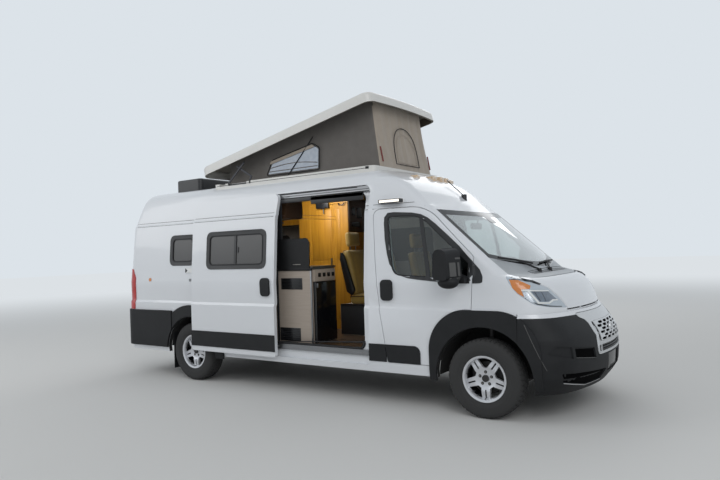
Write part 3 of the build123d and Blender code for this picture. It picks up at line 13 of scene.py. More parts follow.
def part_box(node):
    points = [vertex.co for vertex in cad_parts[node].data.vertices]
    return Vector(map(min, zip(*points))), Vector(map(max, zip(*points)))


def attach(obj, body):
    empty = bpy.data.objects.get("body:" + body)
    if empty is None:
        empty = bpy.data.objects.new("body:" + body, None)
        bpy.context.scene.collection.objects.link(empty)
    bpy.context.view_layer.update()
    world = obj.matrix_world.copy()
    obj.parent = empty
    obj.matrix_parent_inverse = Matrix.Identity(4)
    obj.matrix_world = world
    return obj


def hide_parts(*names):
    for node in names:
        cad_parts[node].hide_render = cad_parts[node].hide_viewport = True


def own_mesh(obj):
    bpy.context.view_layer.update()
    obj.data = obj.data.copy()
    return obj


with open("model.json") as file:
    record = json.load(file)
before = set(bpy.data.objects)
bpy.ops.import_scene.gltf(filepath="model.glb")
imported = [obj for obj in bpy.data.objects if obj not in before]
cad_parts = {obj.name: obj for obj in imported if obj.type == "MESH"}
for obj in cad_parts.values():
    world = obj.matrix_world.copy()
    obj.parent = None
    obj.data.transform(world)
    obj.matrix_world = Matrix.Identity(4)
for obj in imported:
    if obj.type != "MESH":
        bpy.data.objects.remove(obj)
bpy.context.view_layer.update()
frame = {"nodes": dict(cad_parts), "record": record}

bl_info = {
    "name": "Camper van dressing",
    "version": (1, 0, 0),
    "blender": (4, 5, 0),
    "location": "View3D > Sidebar > Camper van",
    "description": "Finishes, lamps, tyres, tent and furniture of a high-roofed camper van",
    "category": "Object",
}

# Place of the front axle along the van, in metres: the pieces are measured from it, as in the source
FRONT_AXLE = 2.2335
# Where a flat outline starts before it is dropped on the van: beyond its ends, its sides and its roof, in metres
BEYOND_ENDS, BEYOND_SIDES, ABOVE_ROOF = 3.8, 1.7, 4.0
# The painted top edge of the front bumper, the heights of the two gutter lines drawn black as painted shade, and half
# a line's width, in metres
BUMPER_PAINT_FROM = 0.948
GUTTER_HEIGHTS, GUTTER_HALF = (2.043, 2.088), 0.0022
# How far the pop-top lid stands open, in degrees
LID_TILT = 12.1
SIDES = (("left", 1), ("right", -1))


def linear(code):
    """An sRGB hex colour as linear red, green, blue and one."""
    parts = [int(code[i:i + 2], 16) / 255 for i in (1, 3, 5)]
    return tuple(c / 12.92 if c <= 0.04045 else ((c + 0.055) / 1.055) ** 2.4 for c in parts) + (1.0,)


class CamperSizes(bpy.types.PropertyGroup):
    """Sizes that a user may change"""

    window_frame: FloatProperty(
        name="Window frame", description="Width of the black frames of the cabin windows", default=0.052,
        min=0.02, max=0.09, unit="LENGTH", subtype="DISTANCE",
    )
    frit_border: FloatProperty(
        name="Windscreen border", description="Width of the black print round the windscreen", default=0.048,
        min=0.01, max=0.12, unit="LENGTH", subtype="DISTANCE",
    )
    tread_depth: FloatProperty(
        name="Tread depth", description="Depth of the tyres' cross grooves", default=0.0065,
        min=0.002, max=0.01, unit="LENGTH", subtype="DISTANCE",
    )
    tread_steps: IntProperty(
        name="Tread steps", description="Steps round a tyre; every fourth one is a cross groove", default=192,
        min=96, max=240,
    )
    fold_depth: FloatProperty(
        name="Tent folds", description="How deep the upright folds of the tent are", default=0.009,
        min=0.0, max=0.02, unit="LENGTH", subtype="DISTANCE",
    )
    cushion_crown: FloatProperty(
        name="Cushion crown", description="How far a seat pad rises at its middle", default=0.016,
        min=0.0, max=0.03, unit="LENGTH", subtype="DISTANCE",
    )
    lattice_depth: FloatProperty(
        name="Grille depth", description="How far the grille's backing lies behind its lattice", default=0.03,
        min=0.01, max=0.06, unit="LENGTH", subtype="DISTANCE",
    )


class CamperColours(bpy.types.PropertyGroup):
    """Colours that a user may change"""

    body: FloatVectorProperty(
        name="Body", description="Enamel of the body panels", subtype="COLOR", size=3, min=0, max=1,
        default=linear("#DDE0E4")[:3],
    )
    lid: FloatVectorProperty(
        name="Pop-top", description="Gelcoat of the pop-top lid and its frame", subtype="COLOR", size=3, min=0,
        max=1, default=linear("#DAD9D5")[:3],
    )
    tent_side: FloatVectorProperty(
        name="Tent sides", description="Cloth of the tent's sides", subtype="COLOR", size=3, min=0, max=1,
        default=linear("#67635F")[:3],
    )
    tent_front: FloatVectorProperty(
        name="Tent front", description="Cloth of the tent's front", subtype="COLOR", size=3, min=0, max=1,
        default=linear("#A89D90")[:3],
    )
    upholstery: FloatVectorProperty(
        name="Upholstery", description="Leatherette of the seats", subtype="COLOR", size=3, min=0, max=1,
        default=linear("#B5964E")[:3],
    )
    cabinets: FloatVectorProperty(
        name="Cabinets", description="Laminate of the galley", subtype="COLOR", size=3, min=0, max=1,
        default=linear("#A89C90")[:3],
    )


def add_node(tree, kind, settings=None, links=None):
    """Add one shader node: settings are its properties (lower case) and input values, links its fed inputs."""
    made = tree.nodes.new(kind)
    for key, value in (settings or {}).items():
        if isinstance(key, str) and key[0].islower():
            setattr(made, key, value)
        else:
            made.inputs[key].default_value = value
    for key, socket in (links or {}).items():
        tree.links.new(socket, made.inputs[key])
    return made


def finish(name, colour, rough, tint=None, grain=None, stretch=(1, 1, 1), pattern="noise", **sockets):
    """A procedural finish.

    colour is a hex code or a linear colour; tint is (second colour or its share of the first, size in mm,
    sharpness); grain is (size in mm, depth in mm); stretch lengthens both along an axis; sockets are the
    shader's own values, with spaces written as underscores.
    """
    made = bpy.data.materials.get(name)
    if made:
        return made
    if isinstance(colour, str):
        colour = linear(colour)
    colour = tuple(colour[:3]) + (1.0,)
    made = bpy.data.materials.new(name)
    made.use_nodes = True
    tree = made.node_tree
    tree.nodes.clear()
    shader = add_node(tree, "ShaderNodeBsdfPrincipled", {"Base Color": colour, "Roughness": rough})
    for key, value in sockets.items():
        shader.inputs[key.replace("_", " ").title().replace("Ior", "IOR")].default_value = value
    add_node(tree, "ShaderNodeOutputMaterial", links={"Surface": shader.outputs[0]})
    coords = add_node(tree, "ShaderNodeTexCoord")
    place = add_node(
        tree, "ShaderNodeMapping", {"Scale": [1 / s for s in stretch]}, {"Vector": coords.outputs["Object"]}
    )
    if tint:
        second, size, sharp = tint
        second = linear(second) if isinstance(second, str) else tuple(c * second for c in colour[:3]) + (1.0,)
        cloud = add_node(
            tree, "ShaderNodeTexNoise", {"Scale": 1000 / size, "Detail": 4.0, "Roughness": 0.6},
            {"Vector": place.outputs[0]},
        )
        ramp = add_node(tree, "ShaderNodeValToRGB", links={"Fac": cloud.outputs["Fac"]})
        ramp.color_ramp.elements[0].position = 0.5 - 0.3 / sharp
        ramp.color_ramp.elements[1].position = 0.5 + 0.3 / sharp
        ramp.color_ramp.elements[0].color = colour
        ramp.color_ramp.elements[1].color = second
        tree.links.new(ramp.outputs["Color"], shader.inputs["Base Color"])
    if grain:
        size, depth = grain
        if pattern == "weave":
            height = None
            for axis in ("X", "Y", "Z"):
                wave = add_node(
                    tree, "ShaderNodeTexWave",
                    {"bands_direction": axis, "Scale": 1000 / size / 20 * pi, "Distortion": 0.4},
                    {"Vector": place.outputs[0]},
                )
                if height is None:
                    height = wave.outputs["Fac"]
                else:
                    mix = add_node(tree, "ShaderNodeMath", {"operation": "ADD"}, {0: height, 1: wave.outputs["Fac"]})
                    height = mix.outputs[0]
        else:
            noise = add_node(
                tree, "ShaderNodeTexNoise", {"Scale": 1000 / size, "Detail": 3.0}, {"Vector": place.outputs[0]}
            )
            height = noise.outputs["Fac"]
        bump = add_node(tree, "ShaderNodeBump", {"Distance": depth / 1000, "Strength": 1.0}, {"Height": height})
        tree.links.new(bump.outputs[0], shader.inputs["Normal"])
    return made


def colours():
    return bpy.context.scene.camper_colours


def sizes():
    return bpy.context.scene.camper_sizes


def white_enamel():
    # Clear-coated white enamel on steel: even, glossy, a faint orange peel in the reflections
    return finish(
        "white_body_enamel", colours().body, 0.3, tint=(0.965, 900, 1), grain=(9, 0.012), coat_weight=0.6,
        coat_roughness=0.05,
    )


def lid_gelcoat():
    # Gelcoat on glass fibre: a warmer white, softer shine
    return finish("white_gelcoat", colours().lid, 0.42, tint=(0.93, 500, 1), grain=(14, 0.03), coat_weight=0.3)


def lid_lining():
    # Tan carpet lining glued under the pop-top lid, painted a dark grey-brown: painted shade under the lid
    return finish("lid_lining_darkened_as_shade", "#5C5343", 0.92, tint=("#4A4335", 45, 1), grain=(4, 0.5), sheen_weight=0.3)


def grained_plastic():
    # Moulded black polypropylene: matt, fine leather grain, greyed by dust
    return finish(
        "grained_polypropylene", "#151618", 0.58, tint=("#1D1E20", 160, 1.2), grain=(3.0, 0.12),
        specular_ior_level=0.3,
    )


def gloss_black():
    # Gloss black ABS and ceramic print on glass
    return finish("gloss_black_abs", "#0E0F11", 0.14, tint=("#131417", 60, 1))


def cowl_plastic():
    # Black polypropylene of the cowl, painted pale grey: a painted reflection of the bright sky
    return finish("cowl_painted_sky_reflection", "#A4A9AD", 0.4, tint=("#979CA0", 80, 1), grain=(3, 0.05))


def highlight_grey_plastic():
    # Grey plastic laid as painted highlights on black parts: the front of the mirrors' arms, the bumper's creases and
    # its pocket ledges
    return finish("painted_highlight_grey", "#4A4A49", 0.5, tint=("#545453", 40, 1), grain=(3, 0.1))


def lit_diffuser():
    # Opal polycarbonate of a lamp that is lit
    return finish(
        "opal_polycarbonate", "#F3F2EE", 0.5, tint=(0.97, 60, 1), emission_strength=0.9,
        emission_color=linear("#FFF6E6"),
    )


def satin_black():
    # Satin black ABS mouldings and powder-coated steel; also black bars and lines laid as painted shade at the
    # doorway's edges and in the pop-top frame's groove
    return finish("satin_black_abs_and_painted_shade", "#17181A", 0.4, tint=("#1F2022", 60, 1), grain=(2, 0.04))


def soft_black():
    # Black EPDM rubber seals and wiper arms; also black laid as painted shade in the wheels' spoke openings and nut
    # holes, the door rail's grooves and the gutter's lines
    return finish("black_epdm_and_painted_shade", "#131315", 0.7, tint=("#1B1B1D", 25, 1), grain=(2, 0.05))


def privacy_glass():
    # Dark tinted acrylic, a little dusty: an even grey with soft reflections, shows nothing behind
    return finish(
        "tinted_acrylic", "#302F2F", 0.3, tint=("#2A2928", 300, 1), coat_weight=0.3, coat_roughness=0.25
    )


def clear_glass():
    # Laminated glass, slightly green: see-through with a strong sky reflection
    return finish(
        "laminated_glass", "#D3DEDC", 0.0, transmission_weight=1.0, ior=1.45, coat_weight=1.0, coat_roughness=0.0,
        coat_ior=2.6,
    )


def door_glass():
    # Toughened glass of the cab doors, greyer than the windscreen
    return finish("toughened_glass", "#BAC4C2", 0.0, transmission_weight=1.0, ior=1.45, coat_weight=0.3)


def mirror_glass():
    # Silvered mirror glass
    return finish("silvered_mirror", "#C3C8CC", 0.03, tint=(0.96, 200, 1), metallic=1.0)


def clear_lens():
    # Clear acrylic drawn opaque and pale blue-grey: a painted reflection in the lens, with a sharp shine
    return finish("clear_acrylic_with_painted_reflection", "#B7C1CA", 0.14, tint=("#A3AFB9", 12, 1), coat_weight=1.0, coat_roughness=0.02)


def lamp_projector():
    # Grey-blue glass of a projector lens over its dark barrel
    return finish("projector_glass", "#6F7C8C", 0.05, tint=("#4E5967", 40, 1), coat_weight=1.0, coat_roughness=0.0)


def lamp_housing():
    # Smoked bezel inside the lamp, under a clear-coated polycarbonate cover
    return finish(
        "smoked_lamp_bezel", "#34383D", 0.22, tint=("#23262A", 50, 1.3), metallic=0.3, coat_weight=1.0,
        coat_roughness=0.02,
    )


def amber_lens():
    # Amber acrylic reflector and marker lens
    return finish("amber_acrylic", "#D98A3C", 0.22, tint=("#C46A1B", 9, 1), coat_weight=0.8, grain=(4, 0.1))


def marker_lens():
    # Pale amber lens of the roof markers
    return finish("pale_amber_acrylic", "#D9CFC2", 0.25, tint=("#D0AC7E", 26, 2), coat_weight=0.8, grain=(4, 0.1))


def red_lens():
    # Red acrylic tail lens with prisms behind it
    return finish("red_acrylic", "#C01A14", 0.25, tint=("#A01010", 12, 1), coat_weight=0.3, grain=(5, 0.2))


def reflector_chrome():
    # Vapour-plated reflector bowl
    return finish("vapour_plated_reflector", "#C9CDD2", 0.12, tint=(0.9, 30, 1), metallic=1.0)


def satin_silver():
    # Silver-painted plastic of the grille's frame
    return finish("satin_silver_paint", "#CBCDCF", 0.34, tint=(0.94, 30, 1), metallic=0.35, coat_weight=0.3)


def anodised_aluminium():
    # Satin anodised aluminium rails, drawn along their length
    return finish(
        "anodised_aluminium", "#8E8F90", 0.36, tint=("#7E7F82", 14, 1), grain=(2.5, 0.02), stretch=(40, 1, 1),
        metallic=1.0,
    )


def dark_anodised_and_shade():
    # Dark bronze anodised aluminium of the lift linkage; also painted shade inside the wheels' barrels
    return finish("dark_anodised_aluminium", "#3A3B3F", 0.38, tint=("#2E2F32", 20, 1), metallic=0.8)


def wheel_silver():
    # Silver lacquer on cast aluminium, clear-coated
    return finish("silver_wheel_lacquer", "#D3D4D8", 0.3, tint=("#C9CBCF", 5, 1), metallic=0.45, coat_weight=0.6)


def tyre_rubber():
    # Carbon-black tyre rubber, dusty on the tread: hardly any shine
    return finish(
        "tyre_rubber", "#0E0E0E", 0.8, tint=("#151514", 70, 1), grain=(5, 0.15), specular_ior_level=0.25
    )


def coated_iron():
    # Black-coated iron and steel under the body; also the dark disc laid as painted shade behind the wheels' spokes
    return finish("black_coated_iron_and_painted_shade", "#1A1A1B", 0.58, tint=("#2A2725", 60, 1), grain=(6, 0.3))


def bright_steel():
    # Ground and zinc-plated steel of discs, nuts and screws
    return finish("ground_steel", "#8C8B88", 0.35, tint=("#6F6A63", 25, 1), metallic=1.0)


def dash_plastic():
    # Grained dashboard skin
    return finish("dashboard_skin", "#1F2022", 0.66, tint=("#292A2D", 80, 1), grain=(3, 0.15))


def screen_face():
    # Switched-off glass display
    return finish("display_glass", "#0B0E12", 0.06, tint=("#12161C", 80, 1), coat_weight=1.0)


def leatherette():
    # Upholstery leatherette, fine pebble grain, soft sheen
    return finish(
        "tan_leatherette", colours().upholstery, 0.5, tint=(0.84, 60, 1), grain=(4, 0.25), sheen_weight=0.2
    )


def leather_piping():
    # Dark cord piping sewn in the cushions' seams
    return finish("dark_leather_piping", "#3B2D20", 0.5, tint=("#2E2319", 12, 1), grain=(2, 0.1))


def grey_laminate():
    # Greige wood-grain laminate of the cabinets
    return finish(
        "greige_laminate", colours().cabinets, 0.46, tint=(0.86, 22, 1.3), grain=(3, 0.05), stretch=(14, 1, 1)
    )


def honey_wood():
    # Honey maple veneer
    return finish("honey_maple", "#B98425", 0.45, tint=("#9C6A17", 26, 1.2), grain=(3, 0.06), stretch=(1, 1, 16))


def dark_wood():
    # Dark walnut laminate of the lockers
    return finish("walnut_laminate", "#46301E", 0.45, tint=("#332214", 20, 1.2), grain=(3, 0.06), stretch=(14, 1, 1))


def floor_wood():
    # Brown plank floor
    return finish("plank_floor", "#54402C", 0.5, tint=("#3E2D1D", 40, 1.2), grain=(4, 0.1), stretch=(12, 1, 1))


def stone_top():
    # Dark speckled worktop
    return finish("speckled_worktop", "#2B2A2A", 0.3, tint=("#44413E", 4, 3), coat_weight=0.3)


def felt_lining():
    # Grey felt lining on the inner walls
    return finish("felt_lining", "#8F8D88", 0.95, tint=("#807E7A", 30, 1), grain=(4, 0.4), sheen_weight=0.3)


def mattress_cloth():
    # Woven mattress cover
    return finish(
        "mattress_ticking", "#B9AE9C", 0.9, tint=("#A89C88", 40, 1), grain=(4, 0.3), pattern="weave",
        sheen_weight=0.4,
    )


def tent_side_cloth():
    # Coated tent canvas; its 4 mm weave is drawn coarser than the real thread so that it shows
    return finish(
        "coated_canvas_side", colours().tent_side, 0.85, tint=(0.82, 120, 1), grain=(5, 0.3), pattern="weave",
        sheen_weight=0.3,
    )


def tent_front_cloth():
    # The same canvas in beige
    return finish(
        "coated_canvas_front", colours().tent_front, 0.85, tint=(0.86, 120, 1), grain=(5, 0.3), pattern="weave",
        sheen_weight=0.3,
    )


def tent_film():
    # Clear vinyl window film, pale blue with the sky behind it
    return finish("clear_vinyl_film", "#99A3B0", 0.2, tint=("#8490A0", 60, 1), coat_weight=0.5)


def red_webbing():
    # Woven red strap
    return finish("red_webbing", "#7A3A36", 0.8, tint=("#64302D", 12, 1), grain=(3, 0.3), pattern="weave")


def black_acrylic():
    # Matt black acrylic board of the splash guard
    return finish("matt_black_acrylic", "#0F0F10", 0.5, tint=("#161617", 60, 1), specular_ior_level=0.3)


def plate_white():
    # Blank reflective sheet of a number plate
    return finish("reflective_sheet", "#E3E5E4", 0.35, tint=(0.97, 40, 1), coat_weight=0.4)


def recess_shade_black():
    # Near-black sheet laid over recesses and air inlets: painted shade of their depths
    return finish("painted_recess_shade", "#040405", 0.95, tint=("#070708", 30, 1), grain=(2, 0.1), specular_ior_level=0.05)


def underbody_coat():
    # Black rubberised coating under the floor and in the wheelhouses
    return finish("rubberised_coating", "#151516", 0.9, tint=("#1F1E1D", 40, 1), grain=(8, 0.8))


def at(x, y, z):
    """A place measured from the front axle, in metres."""
    return Vector((x + FRONT_AXLE, y, z))


# For each viewing side: where a flat outline's point starts from, and the way it is dropped on the van
VIEWS = {
    "right": (lambda u, v: Vector((u + FRONT_AXLE, -BEYOND_SIDES, v)), Vector((0, 1, 0))),
    "left": (lambda u, v: Vector((u + FRONT_AXLE, BEYOND_SIDES, v)), Vector((0, -1, 0))),
    "front": (lambda u, v: Vector((BEYOND_ENDS, u, v)), Vector((-1, 0, 0))),
    "rear": (lambda u, v: Vector((-BEYOND_ENDS, u, v)), Vector((1, 0, 0))),
    "top": (lambda u, v: Vector((u + FRONT_AXLE, v, ABOVE_ROOF)), Vector((0, 0, -1))),
}
known_surfaces = {}
body_of_node = {n: body for body, nodes in frame["record"]["behaviour"]["bodies"].items() for n in nodes}
slot_of_node = {s["node"]: s["material_slot"] for s in frame["record"]["subparts"]}


def surface(nodes):
    """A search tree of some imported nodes' faces."""
    if nodes not in known_surfaces:
        verts, faces = [], []
        for node in nodes:
            mesh = frame["nodes"][node].data
            start = len(verts)
            verts += [v.co.copy() for v in mesh.vertices]
            faces += [[start + i for i in p.vertices] for p in mesh.polygons]
        known_surfaces[nodes] = BVHTree.FromPolygons(verts, faces)
    return known_surfaces[nodes]


def everything(bm):
    return bm.verts[:] + bm.edges[:] + bm.faces[:]


def slice_at(bm, place, normal):
    """Cut every face of a bmesh that a plane crosses."""
    bmesh.ops.bisect_plane(bm, geom=everything(bm), dist=0.000002, plane_co=place, plane_no=normal)


def plate(outline, holes=(), step=0.06):
    """A flat bmesh filling an outline round its holes, cut in a grid so that it can follow a curved surface."""
    bm = bmesh.new()
    edges = []
    for loop in (outline, *holes):
        verts = [bm.verts.new((u, v, 0)) for u, v in loop]
        edges += [bm.edges.new(pair) for pair in zip(verts, verts[1:] + verts[:1])]
    bmesh.ops.triangle_fill(bm, use_beauty=True, use_dissolve=False, edges=edges)
    for axis in (0, 1):
        low = min(p[axis] for p in outline)
        span = max(p[axis] for p in outline) - low
        count = int(span / step)
        for i in range(1, count + 1):
            place, normal = [0, 0, 0], [0, 0, 0]
            place[axis], normal[axis] = low + span * i / (count + 1), 1
            slice_at(bm, place, normal)
    return bm


def thicken(bm, shift):
    """Give a sheet a wall: its front moves by shift, its back stays."""
    made = bmesh.ops.extrude_face_region(bm, geom=bm.faces[:], use_keep_orig=True)
    bmesh.ops.translate(bm, verts=[g for g in made["geom"] if isinstance(g, bmesh.types.BMVert)], vec=shift)
    bmesh.ops.recalc_face_normals(bm, faces=bm.faces)
    return bm


def patch(outline, view, nodes, thick=0.003, holes=(), step=0.06, sink=0.001):
    """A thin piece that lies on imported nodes, its outline drawn as seen from one side.

    Where a node has a hole, the piece bridges it at the depth of the nearest face above or below.
    """
    bm = plate(outline, holes, step)
    start, way = VIEWS[view]
    tree = surface(tuple(nodes))
    found, lost = [], []
    for vert in bm.verts:
        origin = start(vert.co.x, vert.co.y)
        spot = None
        for reach in (0, 0.015, 0.03, 0.045, 0.06, 0.08, 0.11):
            for lift in (Vector((0, 0, reach)), Vector((0, 0, -reach))):
                spot = spot or tree.ray_cast(origin + lift, way)[0]
                if spot:
                    spot = spot - lift
                    break
            if spot:
                break
        if spot is None:
            lost.append((vert, origin))
        else:
            vert.co = spot + way * sink
            found.append((origin, spot))
    if not found:
        raise RuntimeError("an outline misses its nodes: " + ", ".join(nodes))
    for vert, origin in lost:
        near_origin, near_spot = min(found, key=lambda pair: (pair[0] - origin).length)
        vert.co = near_spot + (origin - near_origin) + way * sink
    return thicken(bm, -way * (thick + sink))


def prism(outline, view, far, near, edge=0.0, holes=()):
    """A straight piece between two depths, its outline drawn as seen from one side."""
    bm = plate(outline, holes, 9.0)
    start, way = VIEWS[view]
    axis = max(range(3), key=lambda i: abs(way[i]))
    for vert in bm.verts:
        spot = start(vert.co.x, vert.co.y)
        spot[axis] = far
        vert.co = spot
    shift = Vector((0, 0, 0))
    shift[axis] = near - far
    thicken(bm, shift)
    if edge:
        soften(bm, edge)
    return bm


def soften(bm, width, segments=2):
    """Round the edges of a bmesh that are sharper than 30 degrees."""
    sharp = [e for e in bm.edges if len(e.link_faces) == 2 and e.calc_face_angle(0) > radians(30)]
    bmesh.ops.bevel(
        bm, geom=sharp, offset=width, offset_type="OFFSET", segments=segments, profile=0.5, affect="EDGES",
        material=-1, clamp_overlap=True,
    )
    return bm


def bar(low, high, edge=0.003, segments=2):
    """A box with rounded edges between two corners."""
    bm = bmesh.new()
    bmesh.ops.create_cube(bm, size=1.0)
    bmesh.ops.scale(bm, vec=[abs(b - a) for a, b in zip(low, high)], verts=bm.verts)
    bmesh.ops.translate(bm, vec=[(a + b) / 2 for a, b in zip(low, high)], verts=bm.verts)
    if edge:
        soften(bm, edge, segments)
    return bm


def tube(points, radius, closed=False, smooth=False, sides=4):
    """A round bead along points."""
    curve = bpy.data.curves.new("bead", "CURVE")
    curve.dimensions = "3D"
    curve.bevel_depth = radius
    curve.bevel_resolution = sides // 2
    curve.use_fill_caps = True
    spline = curve.splines.new("NURBS" if smooth else "POLY")
    spline.points.add(len(points) - 1)
    for point, place in zip(spline.points, points):
        point.co = (*place, 1)
    spline.use_cyclic_u = closed
    if smooth:
        spline.order_u = 3
        spline.use_endpoint_u = not closed
        spline.resolution_u = 6
    holder = bpy.data.objects.new("bead", curve)
    mesh = bpy.data.meshes.new_from_object(holder)
    bm = bmesh.new()
    bm.from_mesh(mesh)
    bmesh.ops.remove_doubles(bm, verts=bm.verts, dist=0.000001)
    bpy.data.objects.remove(holder)
    bpy.data.curves.remove(curve)
    bpy.data.meshes.remove(mesh)
    return bm


def lathe(profile, centre, axis=(0, 1, 0), steps=48, closed=True):
    """Turn a profile of (radius, place along the axis) about an axis."""
    axis = Vector(axis).normalized()
    centre = Vector(centre)
    side = axis.orthogonal().normalized()
    bm = bmesh.new()
    verts = [bm.verts.new(centre + side * radius + axis * along) for radius, along in profile]
    pairs = list(zip(verts, verts[1:])) + ([(verts[-1], verts[0])] if closed else [])
    edges = [bm.edges.new(pair) for pair in pairs]
    bmesh.ops.spin(
        bm, geom=verts + edges, cent=centre, axis=axis, angle=2 * pi, steps=steps, use_merge=True,
        use_duplicate=False,
    )
    bmesh.ops.remove_doubles(bm, verts=bm.verts, dist=0.000001)
    bmesh.ops.recalc_face_normals(bm, faces=bm.faces)
    return bm


def rounded(points, radii, steps=5):
    """An outline with its corners turned to arcs."""
    if not hasattr(radii, "__len__"):
        radii = [radii] * len(points)
    made = []
    count = len(points)
    for i, (here, radius) in enumerate(zip(points, radii)):
        here = Vector(here)
        before = Vector(points[i - 1]) - here
        after = Vector(points[(i + 1) % count]) - here
        if radius <= 0:
            made.append(tuple(here))
            continue
        half = before.angle(after) / 2
        reach = min(radius / max(0.05, abs(sin(half) / cos(half))), before.length * 0.49, after.length * 0.49)
        first = here + before.normalized() * reach
        last = here + after.normalized() * reach
        for k in range(steps + 1):
            t = k / steps
            made.append(tuple(first * (1 - t) ** 2 + here * (2 * t * (1 - t)) + last * t ** 2))
    return made


def shrunk(outline, distance):
    """An outline moved inwards by a distance."""
    count = len(outline)
    area = sum(a[0] * b[1] - b[0] * a[1] for a, b in zip(outline, outline[1:] + outline[:1]))
    turn = 1 if area > 0 else -1
    made = []
    for i in range(count):
        before = (Vector(outline[i]) - Vector(outline[i - 1])).normalized()
        after = (Vector(outline[(i + 1) % count]) - Vector(outline[i])).normalized()
        way = Vector((-before.y - after.y, before.x + after.x)) * turn
        if way.length < 0.001:
            way = Vector((-before.y, before.x)) * turn * 2
        way = way.normalized()
        across = max(0.4, way.dot(Vector((-before.y, before.x)) * turn))
        made.append(tuple(Vector(outline[i]) + way * (distance / across)))
    return made


def oblong(low_u, high_u, low_v, high_v, radius=0.0, steps=5):
    """A rectangle's outline with rounded corners."""
    corners = [(low_u, low_v), (high_u, low_v), (high_u, high_v), (low_u, high_v)]
    return rounded(corners, radius, steps) if radius else corners


def merged(node):
    """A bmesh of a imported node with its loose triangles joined."""
    bm = bmesh.new()
    bm.from_mesh(frame["nodes"][node].data)
    bmesh.ops.remove_doubles(bm, verts=bm.verts, dist=0.00002)
    return bm


def shaded(bm, angle):
    """Smooth faces, with edges sharper than the angle kept crisp."""
    for face in bm.faces:
        face.smooth = True
    for edge in bm.edges:
        edge.smooth = len(edge.link_faces) == 2 and edge.calc_face_angle(0) < radians(angle)


class Work:
    """A piece in the making: its faces so far, and the finishes they use."""

    def __init__(self, bm=None, made=None):
        self.bm = bm or bmesh.new()
        self.finishes = []
        if bm:
            self.index(made)

    def index(self, made):
        if made not in self.finishes:
            self.finishes.append(made)
        return self.finishes.index(made)

    def add(self, bm, made):
        """Join another bmesh in one finish."""
        number = self.index(made)
        for face in bm.faces:
            face.material_index = number
        mesh = bpy.data.meshes.new("joined")
        bm.to_mesh(mesh)
        bm.free()
        self.bm.from_mesh(mesh)
        bpy.data.meshes.remove(mesh)
        return self

    def paint(self, made, test):
        """Give a finish to the faces that pass a test of their middle and normal."""
        number = self.index(made)
        for face in self.bm.faces:
            if test(face.calc_center_median(), face.normal):
                face.material_index = number
        return self

    def done(self, name, body, slot=None, replaces=(), bevel=0.0, angle=30):
        """Turn the piece into an object that rides a body."""
        shaded(self.bm, angle)
        mesh = bpy.data.meshes.new(name)
        self.bm.to_mesh(mesh)
        self.bm.free()
        piece = bpy.data.objects.new(name, mesh)
        bpy.context.scene.collection.objects.link(piece)
        for made in self.finishes:
            mesh.materials.append(made)
        if bevel:
            rounding = piece.modifiers.new("edge_rounding", "BEVEL")
            rounding.width = bevel / 1000
            rounding.segments = 2
            rounding.limit_method = "ANGLE"
            rounding.angle_limit = radians(max(angle, 35))
        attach(piece, body)
        if replaces:
            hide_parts(*replaces)
        return piece


def dress(node, made, angle=30, bevel=0.0, parts=()):
    """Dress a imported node; parts are (finish, test) pairs that repaint some of its faces."""
    work = Work(merged(node), made)
    for other, test in parts:
        work.paint(other, test)
    return work.done(node + "_skin", body_of_node[node], slot_of_node[node], [node], bevel, angle)


def lined(side_axis, sign):
    """A test that finds faces looking to the inside of the cabin."""
    return lambda middle, normal: normal[side_axis] * sign < -0.5


def cushion(size, place, turn=0.0, crown=None, corner=0.045, channels=(), pinch=0.006, cuts=16):
    """A stuffed pad: crowned faces, sides that pull in between its corners, and sewn channels.

    size is its length, width and thickness; place is its middle from the front axle; turn leans it about the
    van's cross axis, in degrees; channels are pairs of the way they run, "length" or "width",
    and their place across it, from -1 to 1.
    """
    crown = sizes().cushion_crown if crown is None else crown
    half = Vector(size) / 2
    bm = bmesh.new()
    bmesh.ops.create_cube(bm, size=2.0)
    bmesh.ops.subdivide_edges(bm, edges=bm.edges, cuts=cuts, use_grid_fill=True)
    radius = min(corner, half.z * 0.92)
    for vert in bm.verts:
        a, b, c = vert.co
        spot = Vector((a * half.x, b * half.y, c * half.z))
        core = Vector([max(-h + radius, min(h - radius, s)) for h, s in zip(half, spot)])
        rest = spot - core
        if rest.length > 0:
            spot = core + rest.normalized() * radius
        swell = (1 - a * a) * (1 - b * b)
        spot.z += c * crown * swell
        spot.x -= a * abs(a) * pinch * (1 - b * b)
        spot.y -= b * abs(b) * pinch * (1 - a * a)
        for along, mark in channels:
            distance = ((b - mark) * half.y) if along == "length" else ((a - mark) * half.x)
            spot.z -= c * abs(c) * 0.010 * exp(-((distance / 0.011) ** 2))
        vert.co = spot
    bmesh.ops.rotate(bm, cent=(0, 0, 0), matrix=Matrix.Rotation(radians(turn), 3, "Y"), verts=bm.verts)
    bmesh.ops.translate(bm, vec=at(*place), verts=bm.verts)
    return bm


def piping(size, place, turn, corner=0.045, radius=0.0045):
    """The corded seam round the top of a pad."""
    half = Vector(size) / 2
    loop = oblong(-half.x, half.x, -half.y, half.y, corner, 5)
    rotation = Matrix.Rotation(radians(turn), 3, "Y")
    points = [at(*place) + rotation @ Vector((u, v, half.z * 0.62)) for u, v in loop]
    return tube(points, radius, closed=True)


def pad(name, body, size, place, turn=0.0, replaces=(), fill=0.6, made=None, **shape):
    """A finished cushion, smoothed by one level of subdivision."""
    work = Work(cushion(size, place, turn, **shape), made or leatherette())
    piece = work.done(name, body, "seat_leather" if made is None else "mattress_fabric", replaces, 0.0, 60)
    smoothing = piece.modifiers.new("smoothing", "SUBSURF")
    smoothing.levels = smoothing.render_levels = 1
    return piece


def in_arch(middle, normal):
    """Whether a face looks into a wheel arch."""
    for axle_x in (0.0, -4.035):
        arm = Vector((middle.x - at(axle_x, 0, 0).x, 0, middle.z - 0.372))
        if 0.3 < arm.length < 0.56 and normal.dot(arm.normalized()) < -0.35:
            return True
    return False


